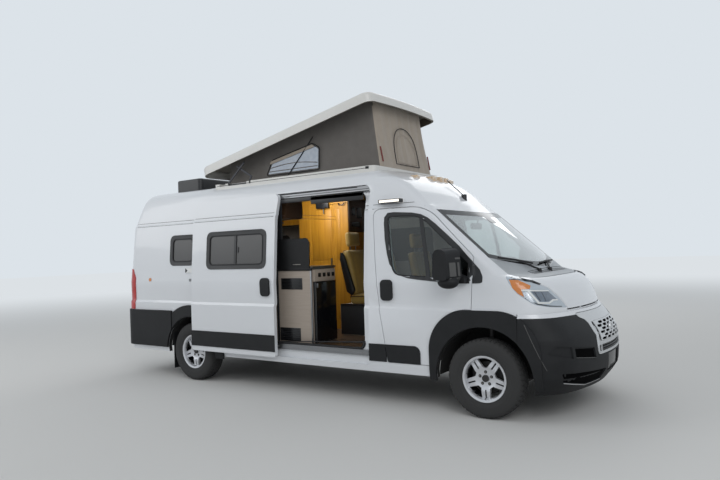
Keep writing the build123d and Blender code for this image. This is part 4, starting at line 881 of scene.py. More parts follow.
class CAMPER_OT_bodywork(bpy.types.Operator):
    """Dress the painted panels and doors"""

    bl_idname = "camper.bodywork"
    bl_label = "Bodywork"

    def execute(self, context):
        white, felt, dash = white_enamel(), felt_lining(), dash_plastic()
        for side, sign in SIDES:
            dress("side_panel_" + side, white, 28, 3.0, [(felt, lined(1, sign)), (underbody_coat(), in_arch)])
            dress("front_door_" + side, white, 28, 3.0, [(dash, lined(1, sign))])
            dress("rear_door_" + side, white, 28, 3.0, [(felt, lined(0, -1))])
        dress("sliding_door", white, 28, 3.0, [(felt, lined(1, -1))])
        dress("roof_panel", white, 28, 3.0, [(felt, lambda middle, normal: normal.z < -0.4 and middle.z > 1.6)])
        dress("front_panel", white, 28, 2.0, [(underbody_coat(), in_arch)])
        dress("bonnet", white, 28, 3.0, [(underbody_coat(), lambda middle, normal: normal.z < -0.3)])
        return {"FINISHED"}


class CAMPER_OT_black_trim(bpy.types.Operator):
    """Dress the black arch trims, bumpers, handles, mirrors, cowl and wipers"""

    bl_idname = "camper.black_trim"
    bl_label = "Black trim"

    def execute(self, context):
        plastic = grained_plastic()
        dress("side_trim", plastic, 30, 3.0)
        dress("rear_bumper", plastic, 30, 4.0)
        bumper = Work(merged("front_bumper"), plastic)
        slice_at(bumper.bm, (0, 0, BUMPER_PAINT_FROM), (0, 0, 1))
        bumper.paint(white_enamel(), lambda middle, normal: middle.z > BUMPER_PAINT_FROM)
        bumper.done("front_bumper_skin", "body", "black_plastic", ["front_bumper"], 3.0)
        # The cowl is painted pale grey as a painted reflection of the sky; its slats keep the black of the real
        # plastic
        dress("cowl", cowl_plastic(), 30, 2.0)
        dress("wipers", soft_black(), 40, 1.0)
        for side, _ in SIDES:
            dress("door_trim_" + side, plastic, 30, 6.0)
        slats = Work()
        for x in (0.335, 0.355, 0.375, 0.395):
            points = []
            for k in range(13):
                y = -0.54 + 1.08 * k / 12
                spot = surface(("cowl",)).ray_cast(at(x - 0.12 * y * y, y, 3), Vector((0, 0, -1)))[0]
                if spot:
                    points.append(spot + Vector((0, 0, 0.0005)))
            if len(points) > 2:
                slats.add(tube(points, 0.0028), soft_black())
        slats.done("cowl_slats", "body", "black_plastic")
        return {"FINISHED"}


class CAMPER_OT_mirrors(bpy.types.Operator):
    """Add the glass and rims of the door mirrors, grey painted highlights on their arms, and their feet"""

    bl_idname = "camper.mirrors"
    bl_label = "Mirrors"

    def execute(self, context):
        for side, sign in SIDES:
            body, node = "front_door_" + side, ("door_trim_" + side,)
            work = Work()
            upper = oblong(min(sign * 1.075, sign * 1.232), max(sign * 1.075, sign * 1.232), 1.392, 1.592, 0.035)
            lower = oblong(min(sign * 1.075, sign * 1.225), max(sign * 1.075, sign * 1.225), 1.296, 1.378, 0.025)
            for outline in (upper, lower):
                work.add(patch(outline, "rear", node, 0.004, step=0.2), mirror_glass())
                work.add(patch(outline, "rear", node, 0.007, [shrunk(outline, 0.006)], step=0.2), satin_black())
            work.done("mirror_glass_" + side, body, "tinted_glass")
            arm = Work()
            # Grey patches on the front of each mirror's arm: painted highlights
            for low_y, high_y, low_z, high_z in (
                (1.135, 1.215, 1.340, 1.470), (1.085, 1.110, 1.340, 1.470), (1.085, 1.215, 1.300, 1.328),
                (1.070, 1.135, 1.500, 1.516),
            ):
                low, high = sorted((sign * low_y, sign * high_y))
                arm.add(patch(oblong(low, high, low_z, high_z, 0.006), "front", node, 0.003, step=0.2),
                        highlight_grey_plastic())
            bowl = bmesh.new()
            bmesh.ops.create_uvsphere(bowl, u_segments=28, v_segments=14, radius=1.0)
            bmesh.ops.scale(bowl, vec=(0.105, 0.082, 0.062), verts=bowl.verts)
            bmesh.ops.translate(bowl, vec=at(-0.255, sign * 1.15, 1.285), verts=bowl.verts)
            arm.add(bowl, grained_plastic())
            arm.done("mirror_foot_and_arm_highlights_" + side, body, "black_plastic")
        return {"FINISHED"}


class CAMPER_OT_cab_glass(bpy.types.Operator):
    """Dress the windscreen and the cab door glass, with their black borders"""

    bl_idname = "camper.cab_glass"
    bl_label = "Cab glass"

    def execute(self, context):
        black = gloss_black()
        dress("windscreen", clear_glass())
        bottom = [(-0.85 + 1.70 * k / 16, 1.390 + 0.112 * (1 - 2 * k / 16) ** 2) for k in range(17)]
        top = [(0.803 - 1.606 * k / 16, 1.981 + 0.018 * (1 - 2 * k / 16) ** 2) for k in range(17)]
        screen = bottom + top
        border = sizes().frit_border
        work = Work()
        work.add(patch(screen, "front", ("windscreen",), 0.0012, [shrunk(screen, border)], 0.05), black)
        work.add(patch(oblong(-0.09, 0.09, 1.86, 1.945, 0.03), "front", ("windscreen",), 0.0016, step=0.05), black)
        work.done("windscreen_border", "body", "black_plastic")
        inner = Work(bar(at(-0.47, -0.13, 1.80), at(-0.44, 0.13, 1.87), 0.014, 4), satin_black())
        inner.add(bar(at(-0.474, -0.118, 1.81), at(-0.47, 0.118, 1.86), 0.001), mirror_glass())
        inner.add(tube([at(-0.45, 0, 1.86), at(-0.42, 0, 1.92), at(-0.40, 0, 1.93)], 0.008), satin_black())
        inner.done("inner_mirror", "body", "dashboard_plastic")

        surround = [
            (-1.064, 1.948), (-1.025, 1.994), (-0.954, 1.997), (-0.754, 1.981), (-0.652, 1.959), (-0.574, 1.92),
            (-0.488, 1.854), (-0.352, 1.734), (-0.233, 1.625), (-0.153, 1.535), (-0.091, 1.472), (-0.091, 1.264),
            (-0.237, 1.263), (-0.505, 1.285), (-0.666, 1.301), (-0.78, 1.316), (-0.869, 1.343), (-0.941, 1.391),
            (-0.996, 1.462), (-1.026, 1.565), (-1.055, 1.724), (-1.067, 1.884),
        ]
        glass = rounded(
            [(-1.034, 1.962), (-0.991, 1.565), (-0.960, 1.345), (-0.505, 1.320), (-0.130, 1.298), (-0.125, 1.459),
             (-0.655, 1.950)],
            [0.045, 0.3, 0.13, 0.3, 0.025, 0.025, 0.3],
        )
        corner = [(-0.086, 1.466), (-0.019, 1.395), (0.012, 1.323), (0.012, 1.276), (-0.012, 1.266), (-0.086, 1.264)]
        divider = [(-0.572, 1.300), (-0.528, 1.299), (-0.632, 1.948), (-0.672, 1.950)]
        for side, _ in SIDES:
            body = "front_door_" + side
            dress("door_glass_" + side, door_glass())
            work = Work()
            nodes = ("front_door_" + side, "door_glass_" + side)
            work.add(patch(surround, side, nodes, 0.004, [glass], 0.03), satin_black())
            work.add(patch(divider, side, nodes, 0.004, step=0.1), satin_black())
            work.done("door_glass_surround_" + side, body, "black_plastic")
            seal = Work(
                patch(glass, side, nodes, 0.005, [shrunk(glass, 0.012)], 0.08), soft_black()
            )
            seal.done("door_glass_seal_" + side, body, "black_plastic")
            work = Work(patch(corner, side, ("front_panel",), 0.004, step=0.02), satin_black())
            work.done("front_corner_cover_" + side, "body", "black_plastic")
        return {"FINISHED"}


class CAMPER_OT_cabin_windows(bpy.types.Operator):
    """Dress the cabin windows and give them frames, bars and latches"""

    bl_idname = "camper.cabin_windows"
    bl_label = "Cabin windows"

    def execute(self, context):
        dress("side_windows", privacy_glass())
        width = sizes().window_frame
        openings = [
            # name, view, x low, x high, z low, z high, carrier node
            ("sliding_door_window", "right", -3.636, -2.640, 1.446, 1.899, "sliding_door"),
            ("quarter_window_right", "right", -4.448, -3.960, 1.500, 1.890, "side_panel_right"),
            ("quarter_window_left", "left", -4.448, -3.960, 1.500, 1.890, "side_panel_left"),
            ("bench_window", "left", -2.380, -1.480, 1.446, 1.899, "side_panel_left"),
        ]
        for name, view, low_x, high_x, low_z, high_z, carrier in openings:
            nodes = ("side_windows", carrier)
            outer = oblong(low_x - 0.008, high_x + 0.008, low_z - 0.008, high_z + 0.008, 0.093, 8)
            inner = oblong(low_x + width, high_x - width, low_z + width, high_z - width, 0.055, 8)
            work = Work(patch(outer, view, nodes, 0.007, [inner], 0.09), satin_black())
            work.add(patch(shrunk(inner, -0.012), view, nodes, 0.0095, [shrunk(inner, 0.003)], 0.09), soft_black())
            middle = (low_x + high_x) / 2
            if high_x - low_x > 0.7:
                post = oblong(middle - 0.018, middle + 0.018, low_z + width, high_z - width)
                work.add(patch(post, view, nodes, 0.008, step=0.09), satin_black())
                latch = oblong(middle + 0.03, middle + 0.055, low_z + 0.19, low_z + 0.26, 0.008)
                work.add(patch(latch, view, nodes, 0.006), satin_black())
            work.done(name + "_frame", "body", "black_plastic")
        return {"FINISHED"}


# The sliding door's hole: low x, high x, low z, high z, measured from the front axle
DOORWAY = (-2.608, -1.332, 0.575, 2.240)


class CAMPER_OT_doorway(bpy.types.Operator):
    """Dress the door rails and add the doorway's seal with black bars of painted shade, black beads of painted shade
    in the rail's grooves, sill screws, gutter lines drawn black as painted shade and rail stop
    """

    bl_idname = "camper.doorway"
    bl_label = "Doorway"

    def execute(self, context):
        dress("door_rails", anodised_aluminium(), 30, 1.0)
        edge = oblong(*DOORWAY, 0.07, 8)
        points = []
        tree = surface(("side_panel_right",))
        for (u, v), (far_u, far_v) in zip(edge, shrunk(edge, -0.014)):
            spot = tree.ray_cast(at(far_u, -1.7, far_v), Vector((0, 1, 0)))[0]
            if spot:
                points.append(at(u, spot.y - 0.004, v))
        seal = Work(tube(points, 0.015, closed=True, sides=8), soft_black())
        low_x, high_x, low_z, high_z = DOORWAY
        # Black bars inside the doorway's top and rear edges: painted shade of the cabin's ceiling and corner behind
        # the opening
        for x, far_x, z, far_z in (
            (low_x, low_x + 0.115, 1.49, high_z), (low_x, low_x + 0.03, low_z, 1.49),
            (low_x, high_x, high_z - 0.045, high_z), (-2.05, high_x, high_z - 0.085, high_z),
        ):
            seal.add(bar(at(x, -0.935, z), at(far_x, -0.917, far_z), 0.006), satin_black())
        seal.done("doorway_seal_and_shade_bars", "body", "black_plastic")
        # Black beads along the rail's grooves: painted shade inside them
        rail_lines = Work()
        tree = surface(("door_rails",))
        for height, thick in ((2.252, 0.004), (2.276, 0.003), (2.302, 0.005)):
            points = []
            for k in range(9):
                spot = tree.ray_cast(at(-2.56 + 1.27 * k / 8, -1.7, height), Vector((0, 1, 0)))[0]
                if spot:
                    points.append(spot)
            if len(points) > 2:
                rail_lines.add(tube(points, thick), soft_black())
        rail_lines.done("rail_groove_shade", "body", "rail_aluminium")
        screws = Work()
        low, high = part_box("door_rails")
        for k in range(9):
            x = -2.52 + 1.17 * k / 8
            spot = surface(("door_rails",)).ray_cast(at(x, -1.4, 0.536), Vector((0, 1, 0)))[0]
            if spot:
                screws.add(
                    lathe([(0.0, 0.0022), (0.0032, 0.0018), (0.0048, 0.0), (0.0048, -0.001)], spot, (0, -1, 0), 12,
                          False),
                    bright_steel(),
                )
        screws.done("sill_screws", "body", "rail_aluminium")
        # Black strips along the gutter's seam and ledge, on both sides and on the sliding door: painted shade in the
        # groove under the ledge
        lines = Work()
        for side, _ in SIDES:
            nodes = ("side_panel_" + side, "roof_panel", "front_panel")
            for height in GUTTER_HEIGHTS:
                low_z, high_z = height - GUTTER_HALF, height + GUTTER_HALF
                strip = [(-5.20, low_z), (-0.62, low_z), (-0.62, high_z), (-5.20, high_z)]
                lines.add(patch(strip, side, nodes, 0.0012, step=0.12), soft_black())
        low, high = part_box("sliding_door")
        for height in GUTTER_HEIGHTS:
            strip = oblong(
                low.x - FRONT_AXLE + 0.02, high.x - FRONT_AXLE - 0.03, height - GUTTER_HALF, height + GUTTER_HALF
            )
            lines.add(patch(strip, "right", ("sliding_door",), 0.0012, step=0.12), soft_black())
        lines.done("gutter_shade_lines", "body", "black_plastic")
        stop = Work(patch(oblong(-4.125, -3.96, 1.397, 1.458, 0.004), "right", ("side_panel_right",), 0.012, step=0.2),
                    plate_white())
        stop.add(patch([(-4.125, 1.397), (-4.085, 1.425), (-4.125, 1.455)], "right", ("side_panel_right",), 0.015,
                       step=0.2), soft_black())
        stop.done("rail_stop", "body", "white_plastic")
        return {"FINISHED"}


def nose_powers(y, z):
    """The powers of a place across and up the nose that its smooth surface is fitted with."""
    return numpy.array((1.0, y ** 2, y ** 4, z, z ** 2, z * y ** 2))


@lru_cache(maxsize=None)
def nose_terms():
    """The grille's smooth front surface, fitted to its frame and bars, because the gaps between them are deep."""
    tree = surface(("grille",))
    spots = []
    for column in range(-20, 21):
        for row in range(12):
            start = Vector((BEYOND_ENDS, 0.0195 * column, 0.670 + 0.0195 * row))
            spots.append(tree.ray_cast(start, Vector((-1, 0, 0)))[0])
    spots = [spot for spot in spots if spot]
    for _ in range(8):
        rows = numpy.array([nose_powers(spot.y, spot.z) for spot in spots])
        terms = numpy.linalg.lstsq(rows, numpy.array([spot.x for spot in spots]), rcond=None)[0]
        spots = [spot for spot, x in zip(spots, rows @ terms) if spot.x > x - 0.003]
    return terms


def on_nose(outline, low, thick, holes=()):
    """A plate in front of the grille's bars, its outline drawn from the front."""
    bm = plate(outline, holes, 0.04)
    for vert in bm.verts:
        y, z = vert.co.x, vert.co.y
        vert.co = Vector((nose_terms() @ nose_powers(y, z) + low, y, z))
    return thicken(bm, Vector((thick, 0, 0)))


class CAMPER_OT_nose(bpy.types.Operator):
    """Dress the grille and add its backing, a near-black plate of painted shade behind its pierced plate, plain badge
    ring, lower panel, bumper pockets in near-black painted shade and grey beads of painted highlight
    """

    bl_idname = "camper.nose"
    bl_label = "Nose"

    def execute(self, context):
        half, low, high = 0.372, 0.690, 0.872
        work = Work(merged("grille"), satin_silver())
        work.done("grille_skin", "body", "grille_plastic", ["grille"], 1.0)

        backing = Work()
        depth = sizes().lattice_depth
        for outline in (
            oblong(-half - 0.02, half + 0.02, low - 0.005, high + 0.005),
            oblong(-half - 0.03, half + 0.03, 0.588, 0.660),
        ):
            sheet = patch(outline, "front", ("grille", "front_bumper"), 0.002, step=0.04)
            bmesh.ops.translate(sheet, vec=(-depth, 0, 0), verts=sheet.verts)
            backing.add(sheet, underbody_coat())
        for height in (0.606, 0.624, 0.642):
            strip = oblong(-half - 0.01, half + 0.01, height - 0.004, height + 0.004)
            sheet = patch(strip, "front", ("grille", "front_bumper"), 0.010, step=0.04)
            bmesh.ops.translate(sheet, vec=(-0.018, 0, 0), verts=sheet.verts)
            backing.add(sheet, satin_black())
        backing.done("grille_backing", "body", "black_plastic")

        rims = Work()
        nodes = ("grille", "front_bumper")
        slot = oblong(-half - 0.024, half + 0.024, 0.590, 0.658, 0.012)
        rims.add(patch(shrunk(slot, -0.007), "front", nodes, 0.004, [slot], 0.04), satin_silver())
        for sign in (1, -1):
            for y in (0.335, 0.355):
                low_y, high_y = sorted((sign * y, sign * (y + 0.006)))
                rims.add(patch(oblong(low_y, high_y, 0.590, 0.658), "front", nodes, 0.004, step=0.04), satin_silver())
        field = oblong(-0.350, 0.350, 0.690, 0.872, 0.012)
        # A near-black plate just behind the lattice's front fills its gaps: painted shade of the grille's depth
        rims.add(on_nose(field, -0.002, 0.005), recess_shade_black())
        hexagon = [
            (-0.057, 0.0), (-0.043, 0.0115), (0.043, 0.0115), (0.057, 0.0), (0.043, -0.0115), (-0.043, -0.0115),
        ]
        gaps = []
        for row in range(6):
            for column in range(5 - row % 2):
                y, z = (column - (4 - row % 2) / 2) * 0.136, 0.7085 + 0.0285 * row
                gaps.append([(y + u, z + v) for u, v in hexagon])
        rims.add(on_nose(field, 0.002, 0.008, gaps), satin_silver())
        badge = lathe([(0.0, 0.010), (0.030, 0.010), (0.034, 0.016), (0.050, 0.014), (0.054, 0.004), (0.054, -0.004)],
                      (0, 0, 0), (1, 0, 0), 40, False)
        bmesh.ops.translate(badge, vec=(nose_terms() @ nose_powers(0.0, 0.781), 0, 0.781), verts=badge.verts)
        rims.add(badge, satin_silver())
        rims.done("grille_rims", "body", "grille_plastic")

        lower = Work()
        bumper = ("front_bumper",)
        plate_place = oblong(-0.188, 0.188, 0.392, 0.549, 0.01)
        lower.add(patch(plate_place, "front", bumper, 0.0015, step=0.05), gloss_black())
        for sign in (1, -1):
            # Near-black patches on the bumper's side and low pockets: painted shade in their recesses
            side_pocket = [(sign * y, z) for y, z in ((0.770, 0.668), (0.492, 0.640), (0.478, 0.553), (0.766, 0.590))]
            lower.add(patch(side_pocket, "front", bumper, 0.0015, step=0.05), recess_shade_black())
            # A grey strip along each side pocket's lower edge: painted highlight
            ledge = [(sign * y, z) for y, z in ((0.478, 0.548), (0.478, 0.555), (0.766, 0.592), (0.766, 0.585))]
            lower.add(patch(ledge, "front", bumper, 0.004, step=0.05), highlight_grey_plastic())
            low_pocket = [(sign * y, z) for y, z in ((0.89, 0.457), (0.27, 0.418), (0.27, 0.330), (0.56, 0.326),
                                                     (0.865, 0.383))]
            lower.add(patch(low_pocket, "front", bumper, 0.0015, step=0.05), recess_shade_black())
            lip = [(sign * y, z) for y, z in ((0.865, 0.367), (0.556, 0.306), (0.26, 0.310), (0.26, 0.317),
                                              (0.556, 0.314), (0.869, 0.375))]
            lower.add(patch(lip, "front", bumper, 0.0035, step=0.05), satin_silver())
            seam = oblong(min(sign * 0.196, sign * 0.200), max(sign * 0.196, sign * 0.200), 0.330, 0.556)
            lower.add(patch(seam, "front", bumper, 0.0008, step=0.05), soft_black())
        # A grey bead along each side's bumper crease: painted highlight
        for sign in (1, -1):
            crease = []
            for y, z in ((1.012, 0.896), (1.015, 0.800), (1.010, 0.697), (0.990, 0.591), (0.976, 0.493)):
                x = 0.410 + 0.180 * (0.896 - z) / 0.403
                spot = surface(bumper).ray_cast(at(x, sign * 1.4, z), Vector((0, -sign, 0)))[0]
                if spot:
                    crease.append(spot)
            if len(crease) > 2:
                lower.add(tube(crease, 0.0035, smooth=True, sides=6), highlight_grey_plastic())
        lower.done("bumper_pockets_shade_and_highlights", "body", "black_plastic")
        return {"FINISHED"}


# The view square to a headlamp's corner: its across direction and its way in
CORNER_ACROSS = Vector((0.826, 0.564, 0))
CORNER_WAY = Vector((-0.564, 0.826, 0))
VIEWS["corner"] = (lambda u, v: CORNER_ACROSS * u - CORNER_WAY * 5 + Vector((0, 0, v)), CORNER_WAY)


class CAMPER_OT_headlamps(bpy.types.Operator):
    """Dress the headlamps: amber corner, light guide, projector box and reflector"""

    bl_idname = "camper.headlamps"
    bl_label = "Headlamps"

    def execute(self, context):
        # The lens is painted pale blue-grey as a painted reflection
        dress("headlamps", clear_lens(), 30, 2.0)
        details = [
            # outline (across the corner view, height), finish, thickness
            ([(1.528, 1.328), (1.620, 1.312), (1.742, 1.286), (1.820, 1.250), (1.800, 1.240), (1.722, 1.268),
              (1.603, 1.294), (1.522, 1.298)], lamp_housing(), 0.0022),
            ([(1.522, 1.297), (1.603, 1.293), (1.706, 1.240), (1.690, 1.212), (1.612, 1.210), (1.634, 1.142),
              (1.588, 1.168), (1.542, 1.222)], amber_lens(), 0.003),
            ([(1.614, 1.209), (1.885, 1.190), (1.892, 1.180), (1.614, 1.196)], plate_white(), 0.0035),
            ([(1.665, 1.196), (1.684, 1.195), (1.768, 1.092), (1.866, 1.084), (1.912, 1.107), (1.972, 1.103),
              (1.976, 1.092), (1.922, 1.094), (1.872, 1.072), (1.755, 1.078)], plate_white(), 0.0035),
            ([(1.624, 1.182), (1.664, 1.182), (1.724, 1.090), (1.692, 1.094), (1.642, 1.134)],
             reflector_chrome(), 0.0024),
            ([(1.700, 1.190), (1.878, 1.180), (1.962, 1.104), (1.912, 1.108), (1.862, 1.092), (1.772, 1.096)],
             lamp_projector(), 0.0028),
            ([(1.728, 1.184), (1.736, 1.184), (1.784, 1.100), (1.776, 1.100)], lamp_housing(), 0.0034),
            ([(1.800, 1.180), (1.806, 1.180), (1.838, 1.096), (1.832, 1.096)], lamp_housing(), 0.0034),
            ([(1.640, 1.128), (1.745, 1.070), (1.868, 1.046), (2.010, 1.030), (2.010, 1.038), (1.868, 1.056),
              (1.748, 1.080), (1.645, 1.136)], lamp_housing(), 0.0022),
        ]
        right = Work()
        for outline, made, thick in details:
            right.add(patch(outline, "corner", ("headlamps",), thick, step=0.03), made)
        left = Work()
        left.finishes = list(right.finishes)
        mesh = bpy.data.meshes.new("mirrored")
        right.bm.to_mesh(mesh)
        left.bm.from_mesh(mesh)
        bpy.data.meshes.remove(mesh)
        bmesh.ops.scale(left.bm, vec=(1, -1, 1), verts=left.bm.verts)
        bmesh.ops.reverse_faces(left.bm, faces=left.bm.faces)
        right.done("headlamp_parts_right", "body", "lamp_plastic")
        left.done("headlamp_parts_left", "body", "lamp_plastic")
        return {"FINISHED"}


class CAMPER_OT_rear(bpy.types.Operator):
    """Dress the rear glass and lamps, and add the rear doors' handle, plate and small lamps"""

    bl_idname = "camper.rear"
    bl_label = "Rear"

    def execute(self, context):
        for side, sign in SIDES:
            dress("rear_glass_" + side, privacy_glass())
            glass_low, glass_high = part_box("rear_glass_" + side)
            outline = oblong(glass_low.y, glass_high.y, glass_low.z, glass_high.z, 0.06, 6)
            nodes = ("rear_glass_" + side, "rear_door_" + side)
            work = Work(patch(outline, "rear", nodes, 0.0025, [shrunk(outline, 0.03)], 0.08), gloss_black())
            work.done("rear_glass_border_" + side, "rear_door_" + side, "black_plastic")
        work = Work(merged("tail_lamps"), red_lens())
        for height in (1.14, 1.20):
            slice_at(work.bm, (0, 0, height), (0, 0, 1))
        # The tail lamps' clear band takes the same pale lens: painted reflection
        work.paint(clear_lens(), lambda middle, normal: 1.14 < middle.z < 1.20 and normal.x < -0.6)
        work.done("tail_lamps_skin", "body", "tail_lamp_plastic", ["tail_lamps"], 3.0)
        plate = Work(patch(oblong(0.12, 0.64, 1.01, 1.12, 0.012), "rear", ("rear_door_left",), 0.004, step=0.2),
                     plate_white())
        plate.add(
            patch(oblong(0.11, 0.65, 1.00, 1.13, 0.016), "rear", ("rear_door_left",), 0.006,
                  [oblong(0.124, 0.636, 1.014, 1.116, 0.01)], 0.2),
            satin_black(),
        )
        plate.add(patch(oblong(0.20, 0.56, 1.145, 1.172, 0.008), "rear", ("rear_door_left",), 0.016, step=0.2),
                  satin_black())
        plate.done("plate_blank", "rear_door_left", "black_plastic")
        handle = Work(patch(oblong(-0.17, -0.045, 1.05, 1.19, 0.03), "rear", ("rear_door_right",), 0.003, step=0.2),
                      satin_black())
        handle.add(patch(oblong(-0.155, -0.06, 1.10, 1.135, 0.012), "rear", ("rear_door_right",), 0.024, step=0.2),
                   grained_plastic())
        handle.done("rear_door_handle", "rear_door_right", "black_plastic")
        lamp = Work(patch(oblong(-0.14, 0.14, 2.335, 2.365, 0.01), "rear", ("roof_panel",), 0.014, step=0.2),
                    red_lens())
        lamp.done("high_brake_lamp", "body", "tail_lamp_plastic")
        bumper = ("rear_bumper",)
        work = Work()
        for side, sign in SIDES:
            low, high = sorted((sign * 0.70, sign * 0.82))
            work.add(patch(oblong(low, high, 0.60, 0.64, 0.008), "rear", bumper, 0.003, step=0.2), red_lens())
            low, high = sorted((sign * 0.28, sign * 0.30))
            work.add(patch(oblong(low, high, 0.585, 0.605, 0.009), "rear", bumper, 0.003, step=0.2), soft_black())
        work.done("rear_bumper_reflectors", "body", "tail_lamp_plastic")
        for side, sign in SIDES:
            marker = Work(
                patch(oblong(-4.886, -4.838, 1.284, 1.332, 0.0239), side, ("side_panel_" + side,), 0.006, step=0.2),
                amber_lens(),
            )
            marker.done("side_marker_" + side, "body", "lamp_plastic")
        return {"FINISHED"}


class CAMPER_OT_tyres(bpy.types.Operator):
    """Turn the tyres, with bead, sidewall bands and a blocked tread"""

    bl_idname = "camper.tyres"
    bl_label = "Tyres"

    def execute(self, context):
        steps, depth = sizes().tread_steps, sizes().tread_depth
        half_profile = [
            (0.2036, 0.0750), (0.2198, 0.0838), (0.2202, 0.0930), (0.2260, 0.0985), (0.2330, 0.0990),
            (0.2360, 0.1020), (0.2520, 0.1072), (0.2620, 0.1096), (0.2640, 0.1112), (0.2980, 0.1122),
            (0.3000, 0.1110), (0.3150, 0.1112), (0.3290, 0.1086), (0.3420, 0.1040), (0.3520, 0.0985),
            (0.3605, 0.0915), (0.3672, 0.0810), (0.3700, 0.0690), (0.3708, 0.0570), (0.3640, 0.0556),
            (0.3640, 0.0464), (0.3714, 0.0450), (0.3719, 0.0180), (0.3645, 0.0166), (0.3645, 0.0074),
            (0.3720, 0.0060),
        ]
        profile = half_profile + [(radius, -along) for radius, along in reversed(half_profile)]
        for end in ("front", "rear"):
            for side, sign in SIDES:
                node = "tyre_" + end + "_" + side
                low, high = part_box(node)
                centre = (Vector(low) + Vector(high)) / 2
                bm = lathe(profile, centre, (0, 1, 0), steps)
                chosen = []
                for face in bm.faces:
                    middle = face.calc_center_median() - centre
                    radius = sqrt(middle.x ** 2 + middle.z ** 2)
                    across = abs(middle.y)
                    if radius < 0.3645 and not 0.086 < across < 0.103:
                        continue
                    if radius < 0.3545 or 0.0455 < across < 0.057 or 0.0070 < across < 0.0170:
                        continue
                    step = int((atan2(middle.z, middle.x) / (2 * pi) + 1) * steps)
                    shift = 0 if across < 0.02 else 2 if across < 0.05 else 1
                    if (step + shift + (2 if middle.y < 0 else 0)) % 4 == 0:
                        chosen.append(face)
                made = bmesh.ops.extrude_face_region(bm, geom=chosen)
                for vert in [g for g in made["geom"] if isinstance(g, bmesh.types.BMVert)]:
                    arm = Vector((vert.co.x - centre.x, 0, vert.co.z - centre.z))
                    vert.co -= arm.normalized() * depth
                bmesh.ops.delete(bm, geom=[f for f in chosen if f.is_valid], context="FACES_ONLY")
                work = Work(bm, tyre_rubber())
                for number in range(24):
                    angle = 2 * pi * number / 24
                    spot = centre + Vector((cos(angle) * 0.281, sign * 0.1118, sin(angle) * 0.281))
                    mark = bar((-0.006, -0.0007, -0.0012), (0.006, 0.0007, 0.0012), 0)
                    bmesh.ops.rotate(mark, cent=(0, 0, 0), matrix=Matrix.Rotation(-angle, 3, "Y"), verts=mark.verts)
                    bmesh.ops.translate(mark, vec=spot, verts=mark.verts)
                    work.add(mark, tyre_rubber())
                work.done(node + "_tread", body_of_node[node], "tyre_rubber", [node], 0.0, 25)
        return {"FINISHED"}


class CAMPER_OT_wheels(bpy.types.Operator):
    """Dress the wheels, their barrels painted dark as painted shade, and add their nuts, caps, valves, and black
    slots, nut rings and a disc behind the spokes as painted shade
    """

    bl_idname = "camper.wheels"
    bl_label = "Wheels"

    def execute(self, context):
        for end in ("front", "rear"):
            for side, sign in SIDES:
                node = "wheel_" + end + "_" + side
                body = body_of_node[node]
                low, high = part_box(node)
                centre = (Vector(low) + Vector(high)) / 2

                # The wheel's inner barrel is painted dark: painted shade inside the wheel
                def barrel_in_shade(middle, normal):
                    arm = Vector((middle.x - centre.x, 0, middle.z - centre.z))
                    inward = normal.dot(arm.normalized()) < -0.5
                    return inward and arm.length > 0.17 and (middle.y - centre.y) * sign < 0.045

                dress(node, wheel_silver(), 30, 3.0, [(dark_anodised_and_shade(), barrel_in_shade)])
                outward = Vector((0, sign, 0))
                face = centre + outward * 0.046
                work = Work()
                work.add(
                    lathe([(0.0, 0.011), (0.022, 0.011), (0.028, 0.008), (0.030, 0.001), (0.034, 0.000),
                           (0.034, -0.004)], face, outward, 40, False),
                    wheel_silver(),
                )
                for number in range(5):
                    angle = 2 * pi * number / 5 + pi / 2
                    spot = face + Vector((cos(angle) * 0.060, 0, sin(angle) * 0.060))
                    # A black ring round each nut: painted shade in its hole
                    work.add(
                        lathe([(0.0, 0.0025), (0.013, 0.0025), (0.015, 0.001), (0.015, -0.004)], spot, outward, 20,
                              False),
                        soft_black(),
                    )
                    work.add(
                        lathe([(0.0, 0.010), (0.0065, 0.010), (0.0085, 0.008), (0.0085, -0.002)], spot, outward, 6,
                              False),
                        bright_steel(),
                    )
                    arm = Vector((cos(angle + pi / 5), 0, sin(angle + pi / 5)))
                    across = arm.cross(outward)
                    # A black box between each pair of spokes: painted shade in the opening behind them
                    slot = bmesh.new()
                    bmesh.ops.create_cube(slot, size=1.0)
                    for vert in slot.verts:
                        along, wide, deep = vert.co
                        radius = 0.134 + 0.074 * along
                        vert.co = centre + arm * radius + across * wide * 0.013 + outward * (0.0445 + 0.004 * deep)
                    bmesh.ops.recalc_face_normals(slot, faces=slot.faces)
                    work.add(slot, soft_black())
                work.add(
                    lathe([(0.0, 0.024), (0.003, 0.024), (0.0035, 0.0), (0.0, 0.0)],
                          centre + outward * 0.062 + Vector((0.0, 0, -0.186)), outward, 12, False),
                    soft_black(),
                )
                work.done(node + "_nuts_and_cap", body, "wheel_alloy")
                # A black-coated disc and ring behind the spokes, where a bright brake disc would be: painted shade in
                # the wheel's depth
                shade = Work(
                    lathe([(0.034, 0.0), (0.150, 0.0), (0.156, -0.006), (0.156, -0.020), (0.034, -0.020)],
                          centre - outward * 0.012, outward, 48),
                    coated_iron(),
                )
                shade.add(
                    lathe([(0.060, 0.004), (0.110, 0.004), (0.110, -0.008), (0.060, -0.008)],
                          centre - outward * 0.004, outward, 48),
                    coated_iron(),
                )
                shade.done(node + "_shade_disc", body, "axle_iron")
        return {"FINISHED"}


